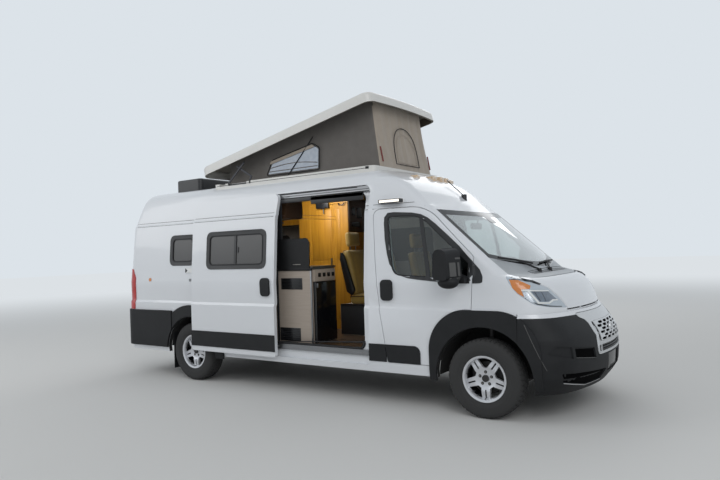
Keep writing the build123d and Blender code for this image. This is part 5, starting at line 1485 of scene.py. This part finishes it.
class CAMPER_OT_running_gear(bpy.types.Operator):
    """Dress the axles, chassis and engine, and add the exhaust's pipe and silencer"""

    bl_idname = "camper.running_gear"
    bl_label = "Running gear"

    def execute(self, context):
        for node, bevel in (
            ("knuckle_left", 1.0), ("knuckle_right", 1.0), ("front_subframe", 3.0), ("rear_axle", 2.0),
            ("chassis_rails", 3.0), ("engine_and_radiator", 4.0),
        ):
            dress(node, coated_iron(), 30, bevel)
        pipe = Work(
            tube([at(-0.75, -0.30, 0.44), at(-1.6, -0.34, 0.43), at(-2.7, -0.30, 0.43), at(-3.4, -0.30, 0.44)], 0.028,
                 smooth=True, sides=8),
            bright_steel(),
        )
        silencer = lathe([(0.0, -0.34), (0.08, -0.33), (0.09, -0.30), (0.09, 0.30), (0.08, 0.33), (0.0, 0.34)],
                         at(-2.35, -0.31, 0.43), (1, 0, 0), 32, False)
        pipe.add(silencer, bright_steel())
        pipe.done("exhaust", "body", "chassis_steel")
        return {"FINISHED"}


class CAMPER_OT_roof_fittings(bpy.types.Operator):
    """Dress the roof lamps, the aerial and the air conditioner"""

    bl_idname = "camper.roof_fittings"
    bl_label = "Roof fittings"

    def execute(self, context):
        work = Work(merged("roof_lamps"), marker_lens())
        work.paint(satin_black(), lambda middle, normal: at(-0.8, 0, 0).x < middle.x and middle.z < 2.39)
        work.paint(lit_diffuser(), lambda middle, normal: middle.y < -0.85)
        work.done("roof_lamps_skin", "body", "lamp_plastic", ["roof_lamps"], 3.0)
        casing = Work()
        low_x, high_x = at(-1.107, 0, 0).x, at(-0.867, 0, 0).x
        for height in (2.095, 2.126):
            casing.add(bar((low_x - 0.006, -0.974, height), (high_x + 0.006, -0.90, height + 0.006), 0.002),
                       satin_black())
        for x in (low_x - 0.010, high_x):
            casing.add(bar((x, -0.974, 2.095), (x + 0.010, -0.90, 2.132), 0.003), satin_black())
        casing.done("porch_lamp_casing", "body", "lamp_plastic")

        dress("roof_air_conditioner", satin_black(), 35, 3.0)
        low, high = (Vector(v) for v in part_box("roof_air_conditioner"))
        work = Work()
        for number in range(7):
            x = low.x + 0.10 + 0.055 * number
            work.add(bar((x, -0.30, high.z - 0.001), (x + 0.022, 0.30, high.z - 0.0002), 0.0), soft_black())
        for sign in (1, -1):
            for number in range(4):
                z = low.z + 0.07 + 0.03 * number
                y_low, y_high = sorted((sign * (high.y - 0.004), sign * (high.y - 0.0002)))
                work.add(bar((low.x + 0.09, y_low, z), (high.x - 0.09, y_high, z + 0.014), 0.0), soft_black())
        work.done("air_conditioner_louvres", "body", "white_plastic")
        return {"FINISHED"}


class CAMPER_OT_pop_top(bpy.types.Operator):
    """Dress the pop-top lid, with its lining darkened as painted shade, its frame, with thin black lines of painted
    shade in its groove, and its lift linkage with base plates and screws
    """

    bl_idname = "camper.pop_top"
    bl_label = "Pop-top"

    def execute(self, context):
        tilt = radians(LID_TILT)
        down = Vector((sin(tilt), 0, -cos(tilt)))

        def inside(middle, normal):
            if normal.dot(down) > 0.5:
                return True
            if abs(middle.y) < 0.772 and abs(normal.y) > 0.5:
                return normal.y * middle.y < 0
            return normal.x < -0.5 and middle.x > at(-1.5, 0, 0).x

        # The lid's underside and inner walls take the darkened lining: painted shade under the lid
        dress("pop_top_lid", lid_gelcoat(), 35, 3.0, [(lid_lining(), inside)])
        dress("pop_top_frame", lid_gelcoat(), 30, 3.0)
        for node in ("lift_arms", "lift_links"):
            dress(node, dark_anodised_and_shade(), 30, 1.0)
        line = Work()
        for _, sign in SIDES:
            # Thin black lines along each side of the frame and at its front end: painted shade in its groove; then the
            # linkage's base plates and screws
            y_low, y_high = sorted((sign * 0.7652, sign * 0.7662))
            line.add(bar(at(-3.74, y_low, 2.512), at(-1.36, y_high, 2.518), 0.0), satin_black())
            line.add(bar(at(-1.40, y_low, 2.506), at(-1.355, y_high, 2.534), 0.0), satin_black())
            y_low, y_high = sorted((sign * 0.692, sign * 0.70))
            line.add(bar(at(-3.66, y_low, 2.506), at(-3.16, y_high, 2.536), 0.002), dark_anodised_and_shade())
            for x, z in ((-3.608, 2.524), (-3.231, 2.524)):
                y = sign * 0.700
                line.add(
                    lathe([(0.0, 0.006), (0.007, 0.006), (0.009, 0.003), (0.009, -0.002)], at(x, y, z),
                          (0, -sign, 0), 16, False),
                    bright_steel(),
                )
        line.done("frame_groove_shade_and_plates", "body", "rail_aluminium")
        return {"FINISHED"}


def tent_height(x, flat):
    """Height of the raised lid's ceiling over a place along the van, measured from the front axle."""
    return 2.550 + (x + 4.585) * 0.2144 + flat


class CAMPER_OT_tent(bpy.types.Operator):
    """Stretch the tent between the frame and the raised lid, with folds, windows, zips and straps"""

    bl_idname = "camper.tent"
    bl_label = "Tent"

    def execute(self, context):
        fold = sizes().fold_depth
        low_ring = self.ring(-3.740, -1.286, 0.598, 0.07)
        draw = (3.740 - 1.405) / (3.740 - 1.286)
        high_ring = [(-3.740 + (x + 3.740) * draw, y * 0.553 / 0.598) for x, y in low_ring]
        columns, rows = len(low_ring), 22
        bm = bmesh.new()
        bmesh.ops.create_grid(bm, x_segments=columns, y_segments=rows, size=1.0)
        for vert in bm.verts:
            turn = (vert.co.x + 1) / 2 * columns
            rise = (vert.co.y + 1) / 2
            place = int(round(turn)) % columns
            (low_x, low_y), (high_x, high_y) = low_ring[place], high_ring[place]
            x = low_x + (high_x - low_x) * rise
            y = low_y + (high_y - low_y) * rise
            top = tent_height(high_x, 0.091)
            z = 2.5405 + (top - 2.5405) * rise
            out = Vector((0, 1 if y > 0 else -1, 0))
            front = low_x > -1.36
            if front:
                out = Vector((1, 0, 0))
            if low_x < -3.70:
                out = Vector((-1, 0, 0))
            sag = sin(pi * rise)
            wave = sin(x * 19 + rise * 2.2) + 0.5 * sin(x * 33)
            if front:
                wave = 1.9 * (sin(y * 41 + 0.8 * sin(rise * 3)) + 0.7 * sin(y * 67 + 1.3))
            push = -0.012 * sag + fold * 0.5 * wave * (0.35 + 0.65 * sag)
            vert.co = at(x, y, z) + out * (min(0.0, push) if not front else push * 0.8 - 0.002)
        bmesh.ops.remove_doubles(bm, verts=bm.verts, dist=0.0005)
        bmesh.ops.recalc_face_normals(bm, faces=bm.faces)
        area = sum(face.calc_area() for face in bm.faces)
        work = Work(bm, tent_side_cloth())
        front_x = at(-1.42, 0, 0).x
        work.paint(tent_front_cloth(), lambda middle, normal: middle.x > front_x and abs(normal.x) > 0.5)
        piece = work.done("tent_cloth", "body", "canvas", ["tent"], 0.0, 180)
        wall = piece.modifiers.new("cloth_thickness", "SOLIDIFY")
        wall.thickness = 0.0015
        wall.offset = -1
        self.close_with_lid(piece)
        self.details()
        return {"FINISHED"}

    @staticmethod
    def ring(low_x, high_x, half, radius):
        """Points round the tent at even steps, seen from above."""
        loop = oblong(low_x, high_x, -half, half, radius, 6)
        points = []
        for start, end in zip(loop, loop[1:] + loop[:1]):
            count = max(1, int((Vector(end) - Vector(start)).length / 0.035))
            for k in range(count):
                points.append(tuple(Vector(start).lerp(Vector(end), k / count)))
        return points

    @staticmethod
    def close_with_lid(piece):
        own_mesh(piece)

    def details(self):
        """Zips, window edges and straps sewn on the cloth."""
        tree = surface(("tent",))
        zips, panes = Work(), Work()
        arch = []
        for k in range(25):
            t = pi * k / 24
            arch.append((-0.27 * cos(t), 2.62 + 0.43 * sin(t) ** 0.6 if 0 < k < 24 else 2.62))
        outline = [(y, z) for y, z in arch]
        points = []
        for y, z in [(-0.27, 2.60)] + outline + [(0.27, 2.60)]:
            spot = tree.ray_cast(Vector((3.0, y, z)), Vector((-1, 0, 0)))[0]
            if spot:
                points.append(spot + Vector((0.004, 0, 0)))
        zips.add(tube(points, 0.005, closed=True), soft_black())
        window = [(y * 0.78, 2.62 + (z - 2.62) * 0.82) for y, z in arch]
        points = []
        for y, z in window:
            spot = tree.ray_cast(Vector((3.0, y, z)), Vector((-1, 0, 0)))[0]
            if spot:
                points.append(spot + Vector((0.003, 0, 0)))
        zips.add(tube(points, 0.003, closed=True), tent_front_cloth())
        for sign in (1, -1):
            pane = rounded([(-3.02, 2.595), (-2.17, 2.595), (-2.17, 2.86), (-2.28, 2.925), (-2.93, 2.79)],
                           [0.03, 0.03, 0.05, 0.05, 0.05], 5)
            side = "left" if sign > 0 else "right"
            panes.add(patch(shrunk(pane, 0.02), side, ("tent",), 0.002, step=0.06), tent_film())
            flap = rounded([(-2.95, 2.775), (-2.29, 2.91), (-2.24, 2.88), (-2.97, 2.735)], 0.012, 3)
            panes.add(patch(flap, side, ("tent",), 0.012, step=0.06), tent_front_cloth())
            points = []
            for x, z in pane:
                spot = tree.ray_cast(at(x, sign * 1.5, z), Vector((0, -sign, 0)))[0]
                if spot:
                    points.append(spot + Vector((0, sign * 0.004, 0)))
            zips.add(tube(points, 0.006, closed=True), soft_black())
            for rise in (0.045, 0.085):
                points = []
                for k in range(9):
                    x = -2.98 + 0.78 * k / 8
                    z = 2.600 + rise + 0.035 * sin(pi * k / 8) * (rise > 0.05)
                    spot = tree.ray_cast(at(x, sign * 1.5, z), Vector((0, -sign, 0)))[0]
                    if spot:
                        points.append(spot + Vector((0, sign * 0.003, 0)))
                zips.add(tube(points, 0.005), tent_side_cloth())
        self.close_with_lid(panes.done("tent_windows", "body", "canvas"))
        piece = zips.done("tent_zips", "body", "canvas")
        self.close_with_lid(piece)
        straps = Work()
        for sign in (1, -1):
            points = []
            for k in range(9):
                x = -2.276 - 0.403 * k / 8
                z = 3.00 - 0.455 * k / 8
                spot = tree.ray_cast(at(x, sign * 1.5, z), Vector((0, -sign, 0)))[0]
                if spot:
                    points.append(spot + Vector((0, sign * 0.008, 0)))
            straps.add(tube(points, 0.006), soft_black())
            points = []
            for k in range(5):
                z = 2.60 + 0.17 * k / 4
                spot = tree.ray_cast(Vector((3.0, sign * 0.555, z)), Vector((-1, 0, 0)))[0]
                if spot:
                    points.append(spot + Vector((0.006, 0, 0)))
            straps.add(tube(points, 0.009), red_webbing())
        piece = straps.done("tent_straps", "body", "canvas")
        self.close_with_lid(piece)


class CAMPER_OT_cabin_shell(bpy.types.Operator):
    """Dress the floor, the galley, the wash room and the lockers, with their doors and handles"""

    bl_idname = "camper.cabin_shell"
    bl_label = "Cabin furniture"

    def execute(self, context):
        dress(
            "floor_pan", underbody_coat(), 30, 2.0,
            [(floor_wood(), lambda middle, normal: normal.z > 0.7 and 0.553 < middle.z < 0.57)],
        )
        honey, walnut, greige, black = honey_wood(), dark_wood(), grey_laminate(), satin_black()

        work = Work(merged("galley"), greige)
        work.paint(stone_top(), lambda middle, normal: 1.418 < middle.z < 1.46 and middle.y > -0.9255)
        work.paint(black_acrylic(), lambda middle, normal: middle.y < -0.9252 and middle.z > 1.42)
        work.paint(gloss_black(), lambda middle, normal: middle.x > at(-2.0745, 0, 0).x and middle.z < 1.3)
        work.done("galley_skin", "body", "galley_board", ["galley"], 2.0)
        detail = Work()
        outer = -0.925
        for low_x, high_x, low_z, high_z in ((-2.535, -2.215, 1.186, 1.318), (-2.570, -2.260, 0.590, 0.742)):
            detail.add(bar(at(low_x, outer - 0.005, low_z), at(high_x, outer, high_z), 0.003), black)
            count = 7
            for k in range(count):
                z = low_z + 0.016 + (high_z - low_z - 0.032) * k / (count - 1)
                detail.add(
                    bar(at(low_x + 0.015, outer - 0.0095, z - 0.0035), at(high_x - 0.015, outer - 0.004, z + 0.0035),
                        0.0015), gloss_black(),
                )
        detail.add(bar(at(-2.098, outer - 0.006, 0.575), at(-2.075, outer + 0.006, 1.412), 0.003),
                   anodised_aluminium())
        front = -2.045
        detail.add(bar(at(-2.075, -0.905, 1.276), at(-2.050, -0.515, 1.412), 0.003), greige)
        for k in range(4):
            y = -0.84 + 0.085 * k
            detail.add(bar(at(-2.051, y, 1.325), at(-2.044, y + 0.052, 1.372), 0.004), gloss_black())
        detail.add(bar(at(front - 0.001, -0.893, 0.600), at(front + 0.003, -0.527, 1.262), 0.001), gloss_black())
        detail.add(bar(at(front, -0.885, 1.205), at(front + 0.022, -0.865, 1.255), 0.004), anodised_aluminium())
        detail.add(bar(at(front, -0.900, 0.585), at(front + 0.004, -0.892, 1.268), 0.001), anodised_aluminium())
        detail.add(bar(at(-2.60, outer - 0.013, 1.402), at(-2.065, outer, 1.432), 0.003), black_acrylic())
        detail.add(bar(at(-2.34, outer - 0.017, 1.470), at(-2.22, outer - 0.012, 1.480), 0.003), bright_steel())
        detail.done("galley_details", "body", "galley_board")
        taps = Work(
            tube([at(-2.62, -0.62, 1.45), at(-2.62, -0.62, 1.66), at(-2.62, -0.66, 1.70), at(-2.62, -0.76, 1.69),
                  at(-2.62, -0.77, 1.65)], 0.011, smooth=True, sides=8),
            bright_steel(),
        )
        taps.add(bar(at(-2.95, -0.87, 1.4495), at(-2.45, -0.56, 1.4515), 0.0008), bright_steel())
        taps.add(bar(at(-2.90, -0.83, 1.4512), at(-2.50, -0.60, 1.4520), 0.0), soft_black())
        taps.done("sink_and_tap", "body", "galley_board")

        work = Work(merged("wash_room"), honey)
        work.done("wash_room_skin", "body", "dark_wood", ["wash_room"], 2.0)
        detail = Work()
        for low_x, high_x in ((-3.09, -2.71), (-2.69, -2.57)):
            detail.add(bar(at(low_x + 0.03, 0.348, 1.50), at(high_x - 0.02, 0.3535, 2.18), 0.002), honey)
            detail.add(bar(at(low_x + 0.03, 0.348, 0.70), at(high_x - 0.02, 0.3535, 1.44), 0.002), honey)
        detail.add(bar(at(-2.745, 0.330, 1.38), at(-2.73, 0.352, 1.52), 0.004), anodised_aluminium())
        detail.done("wash_room_doors", "body", "dark_wood")
        wall = -2.450
        panel = Work(bar(at(wall, 0.365, 1.868), at(wall + 0.012, 0.86, 2.31), 0.003), walnut)
        for low_y, high_y, low_z, high_z in ((0.425, 0.499, 2.09, 2.20), (0.546, 0.664, 2.056, 2.203),
                                             (0.413, 0.615, 1.936, 2.003)):
            panel.add(bar(at(wall + 0.011, low_y, low_z), at(wall + 0.017, high_y, high_z), 0.004), gloss_black())
        panel.add(bar(at(-2.96, 0.305, 2.205), at(-2.75, 0.349, 2.335), 0.012), satin_black())
        panel.add(tube([at(-2.84, 0.325, 2.21), at(-2.835, 0.325, 2.13)], 0.009), satin_black())
        panel.add(tube([at(-2.59, 0.335, 2.262), at(-2.57, 0.318, 2.235), at(-2.51, 0.318, 2.235),
                        at(-2.49, 0.335, 2.262)], 0.007), satin_black())
        panel.done("control_wall", "body", "dark_wood")

        # The photograph shows the doorway-side lockers ending short of the doorway's middle
        work = Work(merged("overhead_lockers"), walnut)
        cut = bmesh.ops.bisect_plane(work.bm, geom=everything(work.bm), dist=0.00001, plane_co=at(-2.48, 0, 0),
                                     plane_no=(1, 0, 0), clear_outer=True)
        rim = [g for g in cut["geom_cut"] if isinstance(g, bmesh.types.BMEdge)]
        bmesh.ops.holes_fill(work.bm, edges=rim, sides=0)
        work.paint(honey, lambda middle, normal: abs(normal.y) > 0.5 and abs(middle.y) < 0.7)
        work.done("lockers_skin", "body", "dark_wood", ["overhead_lockers"], 3.0)
        detail = Work()
        for sign, low_x, high_x in ((-1, -5.20, -2.50), (1, -5.20, -3.35)):
            count = int((high_x - low_x) / 0.62)
            span = (high_x - low_x) / count
            for k in range(count):
                y_low, y_high = sorted((sign * 0.552, sign * 0.560))
                x = low_x + span * k
                detail.add(bar(at(x + 0.008, y_low, 2.045), at(x + span - 0.008, y_high, 2.365), 0.003), honey)
                y_low, y_high = sorted((sign * 0.540, sign * 0.553))
                detail.add(bar(at(x + span / 2 - 0.05, y_low, 2.055), at(x + span / 2 + 0.05, y_high, 2.072), 0.004),
                           anodised_aluminium())
        detail.done("locker_doors", "body", "dark_wood")
        return {"FINISHED"}


class CAMPER_OT_seats(bpy.types.Operator):
    """Stuff the cab seats, the bench and the bed with crowned, piped pads on their bases"""

    bl_idname = "camper.seats"
    bl_label = "Seats and bed"

    def execute(self, context):
        bolsters = (("length", -0.62), ("length", 0.62))
        for side, sign in SIDES:
            y = sign * 0.45
            base = Work(bar(at(-1.33, y - 0.19, 0.56), at(-0.96, y + 0.19, 0.895), 0.02), grained_plastic())
            for stem in (-0.06, 0.06):
                base.add(tube([at(-1.468, y + stem, 1.50), at(-1.468, y + stem, 1.66)], 0.007), bright_steel())
            base.done("cab_seat_base_" + side, "body", "dashboard_plastic")
            pad("cab_seat_cushion_" + side, "body", (0.50, 0.46, 0.125), (-1.14, y, 0.958), -2,
                ["cab_seats"], channels=bolsters)
            pad("cab_seat_back_" + side, "body", (0.58, 0.46, 0.115), (-1.388, y, 1.288), -100.5,
                channels=bolsters, crown=0.012)
            pad("cab_headrest_" + side, "body", (0.19, 0.25, 0.085), (-1.472, y, 1.71), -94, crown=0.01,
                corner=0.04, cuts=10)
            cords = Work(piping((0.50, 0.46, 0.125), (-1.14, y, 0.958), -2), leather_piping())
            cords.add(piping((0.58, 0.46, 0.115), (-1.388, y, 1.288), -100.5), leather_piping())
            cords.done("cab_seat_piping_" + side, "body", "seat_leather")
        base = Work(bar(at(-2.275, -0.13, 0.56), at(-1.735, 0.90, 0.945), 0.015), grey_laminate())
        base.add(bar(at(-1.737, -0.09, 0.60), at(-1.731, 0.86, 0.91), 0.003), dark_wood())
        base.add(bar(at(-2.26, -0.136, 0.575), at(-1.75, -0.129, 0.935), 0.003), dash_plastic())
        base.add(bar(at(-2.26, -0.140, 0.930), at(-1.74, -0.10, 0.952), 0.003), satin_black())
        bolster = prism([(-2.235, 1.60), (-2.19, 1.56), (-2.04, 1.12), (-2.08, 1.06), (-2.155, 1.10), (-2.245, 1.50)],
                        "right", -0.150, -0.098, 0.014)
        base.add(bolster, satin_black())
        base.done("bench_base", "body", "galley_board")
        for number, y in enumerate((0.13, 0.64)):
            pad("bench_cushion_%d" % (number + 1), "body", (0.43, 0.455, 0.125), (-1.935, y, 1.008), -2,
                ["bench_seats"], channels=bolsters)
            pad("bench_back_%d" % (number + 1), "body", (0.58, 0.45, 0.115), (-2.148, y, 1.338), -100.5,
                channels=bolsters, crown=0.012)
            pad("bench_headrest_%d" % (number + 1), "body", (0.19, 0.25, 0.085), (-2.232, y, 1.76), -94, crown=0.01,
                corner=0.04, cuts=10)
            cords = Work(piping((0.43, 0.455, 0.125), (-1.935, y, 1.008), -2), leather_piping())
            cords.add(piping((0.58, 0.45, 0.115), (-2.148, y, 1.338), -100.5), leather_piping())
            for stem in (-0.06, 0.06):
                cords.add(tube([at(-2.228, y + stem, 1.55), at(-2.228, y + stem, 1.71)], 0.007), bright_steel())
            cords.done("bench_piping_%d" % (number + 1), "body", "seat_leather")
        frame_work = Work(bar(at(-5.28, -0.90, 1.01), at(-3.45, 0.90, 1.04), 0.004), honey_wood())
        for sign in (1, -1):
            low_y, high_y = sorted((sign * 0.40, sign * 0.88))
            frame_work.add(bar(at(-5.28, low_y, 0.56), at(-4.56, high_y, 1.01), 0.006), grey_laminate())
        frame_work.done("bed_base", "body", "galley_board")
        for number, sign in enumerate((1, -1)):
            pad("mattress_%d" % (number + 1), "body", (1.78, 0.875, 0.125), (-4.37, sign * 0.443, 1.105), 0,
                ["bed"] if number == 0 else (), made=mattress_cloth(), corner=0.03, cuts=24,
                channels=(("width", -0.5), ("width", 0.0), ("width", 0.5)))
        return {"FINISHED"}


class CAMPER_OT_dashboard(bpy.types.Operator):
    """Dress the dashboard and add its screens, instrument hood and vents"""

    bl_idname = "camper.dashboard"
    bl_label = "Dashboard"

    def execute(self, context):
        dress("dashboard", dash_plastic(), 35, 4.0)
        work = Work()
        display = bar(at(-0.40, -0.13, 1.26), at(-0.385, 0.13, 1.42), 0.006)
        work.add(display, satin_black())
        work.add(bar(at(-0.403, -0.118, 1.272), at(-0.399, 0.118, 1.408), 0.002), screen_face())
        hood = prism([(0.27, 1.33), (0.63, 1.33), (0.61, 1.45), (0.55, 1.475), (0.35, 1.475), (0.29, 1.45)], "rear",
                     at(-0.22, 0, 0).x, at(-0.37, 0, 0).x, 0.012)
        work.add(hood, dash_plastic())
        work.add(bar(at(-0.374, 0.30, 1.345), at(-0.370, 0.60, 1.45), 0.002), screen_face())
        for y in (-0.80, -0.22, 0.22, 0.74):
            work.add(bar(at(-0.402, y - 0.055, 1.24), at(-0.392, y + 0.055, 1.31), 0.008), satin_black())
            for k in range(4):
                z = 1.252 + 0.015 * k
                work.add(bar(at(-0.406, y - 0.045, z), at(-0.400, y + 0.045, z + 0.005), 0.001), gloss_black())
        work.done("dashboard_details", "body", "dashboard_plastic")
        return {"FINISHED"}


class CAMPER_OT_stage(bpy.types.Operator):
    """Lay the pale floor, the studio light and the camera"""

    bl_idname = "camper.stage"
    bl_label = "Stage"

    def execute(self, context):
        scene = context.scene
        bm = bmesh.new()
        bmesh.ops.create_grid(bm, x_segments=1, y_segments=1, size=60)
        mesh = bpy.data.meshes.new("studio_floor")
        bm.to_mesh(mesh)
        bm.free()
        floor = bpy.data.objects.new("studio_floor", mesh)
        scene.collection.objects.link(floor)
        mesh.materials.append(self.floor_finish())

        world = bpy.data.worlds.new("studio_world")
        scene.world = world
        world.use_nodes = True
        tree = world.node_tree
        tree.nodes.clear()
        path = add_node(tree, "ShaderNodeLightPath")
        coords = add_node(tree, "ShaderNodeTexCoord")
        split = add_node(tree, "ShaderNodeSeparateXYZ", links={0: coords.outputs["Generated"]})
        sky = add_node(tree, "ShaderNodeValToRGB", links={"Fac": split.outputs["Z"]})
        sky.color_ramp.elements[0].position = 0.0
        sky.color_ramp.elements[0].color = linear("#B9BBBE")
        sky.color_ramp.elements[1].position = 0.75
        sky.color_ramp.elements[1].color = linear("#EDF2F7")
        light = add_node(tree, "ShaderNodeBackground", {"Strength": 0.58}, {"Color": sky.outputs[0]})
        seen = add_node(tree, "ShaderNodeBackground", {"Color": linear("#DCE3E9"), "Strength": 1.0})
        # Eye, reflections and panes see the pale background, while the light comes from the softer sky
        shown = path.outputs["Is Camera Ray"]
        for kind in ("Is Glossy Ray", "Is Transmission Ray"):
            both = add_node(tree, "ShaderNodeMath", {"operation": "MAXIMUM"}, {0: shown, 1: path.outputs[kind]})
            shown = both.outputs[0]
        mix = add_node(tree, "ShaderNodeMixShader", links={0: shown, 1: light.outputs[0], 2: seen.outputs[0]})
        add_node(tree, "ShaderNodeOutputWorld", links={"Surface": mix.outputs[0]})

        self.lamps(scene)
        self.camera(scene)
        scene.view_settings.view_transform = "Standard"
        return {"FINISHED"}

    @staticmethod
    def floor_finish():
        """Pale matt floor that takes the object's shadow and fades into the background with distance."""
        made = finish("pale_floor", "#D6D6D4", 0.9, tint=(0.985, 2500, 1))
        tree = made.node_tree
        out = next(n for n in tree.nodes if n.bl_idname == "ShaderNodeOutputMaterial")
        shader = next(n for n in tree.nodes if n.bl_idname == "ShaderNodeBsdfPrincipled")
        coords = add_node(tree, "ShaderNodeTexCoord")
        reach = add_node(tree, "ShaderNodeVectorMath", {"operation": "LENGTH"}, {0: coords.outputs["Object"]})
        fade = add_node(
            tree, "ShaderNodeMapRange", {"From Min": 5.0, "From Max": 26.0, "interpolation_type": "SMOOTHSTEP"},
            {"Value": reach.outputs["Value"]},
        )
        glow = add_node(tree, "ShaderNodeEmission", {"Color": linear("#DCE1E5"), "Strength": 1.0})
        mix = add_node(
            tree, "ShaderNodeMixShader", links={0: fade.outputs[0], 1: shader.outputs[0], 2: glow.outputs[0]}
        )
        tree.links.new(mix.outputs[0], out.inputs["Surface"])
        return made

    @staticmethod
    def lamps(scene):
        """Soft panels round the van and one in the cabin's ceiling."""
        for name, spot, aim, size, power in (
            ("key_panel", (9.0, -9.0, 8.0), (0.0, 0.0, 1.2), 7.0, 440),
            ("fill_panel", (-8.0, -7.0, 6.0), (-0.5, 0.0, 1.2), 7.0, 230),
            ("back_panel", (-2.0, 9.0, 8.0), (0.0, 0.0, 1.2), 7.0, 220),
            ("cabin_panel", (-0.45, -0.25, 2.30), (-0.6, 0.4, 1.4), 0.5, 11),
        ):
            data = bpy.data.lights.new(name, "AREA")
            data.size = size
            data.energy = power
            lamp = bpy.data.objects.new(name, data)
            scene.collection.objects.link(lamp)
            lamp.location = spot
            lamp.rotation_euler = (Vector(aim) - Vector(spot)).to_track_quat("-Z", "Y").to_euler()

    @staticmethod
    def camera(scene):
        """The photograph's own viewpoint."""
        pitch, yaw, roll = radians(0.979), radians(124.326), radians(-1.960)
        ahead = Vector((cos(pitch) * cos(yaw), cos(pitch) * sin(yaw), sin(pitch)))
        level = Vector((sin(yaw), -cos(yaw), 0))
        upright = level.cross(ahead)
        right = level * cos(roll) + upright * sin(roll)
        top = upright * cos(roll) - level * sin(roll)
        data = bpy.data.cameras.new("photograph_view")
        data.sensor_width = 36.0
        data.lens = 30.776
        data.clip_end = 300
        camera = bpy.data.objects.new("photograph_view", data)
        scene.collection.objects.link(camera)
        camera.matrix_world = Matrix.Translation((2.334 + FRONT_AXLE, -6.385, 1.612)) @ Matrix(
            (right, top, -ahead)
        ).transposed().to_4x4()
        scene.camera = camera


OPERATORS = (
    CAMPER_OT_bodywork, CAMPER_OT_black_trim, CAMPER_OT_mirrors, CAMPER_OT_cab_glass, CAMPER_OT_cabin_windows,
    CAMPER_OT_doorway, CAMPER_OT_nose, CAMPER_OT_headlamps, CAMPER_OT_rear, CAMPER_OT_tyres, CAMPER_OT_wheels,
    CAMPER_OT_running_gear, CAMPER_OT_roof_fittings, CAMPER_OT_pop_top, CAMPER_OT_tent, CAMPER_OT_cabin_shell,
    CAMPER_OT_seats, CAMPER_OT_dashboard, CAMPER_OT_stage,
)


class CAMPER_PT_panel(bpy.types.Panel):
    """Lists the steps that dress the camper van"""

    bl_idname = "CAMPER_PT_panel"
    bl_label = "Camper van"
    bl_space_type = "VIEW_3D"
    bl_region_type = "UI"
    bl_category = "Camper van"

    def draw(self, context):
        for group in (context.scene.camper_sizes, context.scene.camper_colours):
            for key in group.__annotations__:
                self.layout.prop(group, key)
        for step in OPERATORS:
            self.layout.operator(step.bl_idname)


CLASSES = (CamperSizes, CamperColours, *OPERATORS, CAMPER_PT_panel)


def register():
    for made in CLASSES:
        bpy.utils.register_class(made)
    bpy.types.Scene.camper_sizes = PointerProperty(type=CamperSizes)
    bpy.types.Scene.camper_colours = PointerProperty(type=CamperColours)


def unregister():
    del bpy.types.Scene.camper_colours
    del bpy.types.Scene.camper_sizes
    for made in reversed(CLASSES):
        bpy.utils.unregister_class(made)


def main():
    register()
    for step in OPERATORS:
        group, name = step.bl_idname.split(".")
        getattr(getattr(bpy.ops, group), name)()


if __name__ == "__main__":
    main()
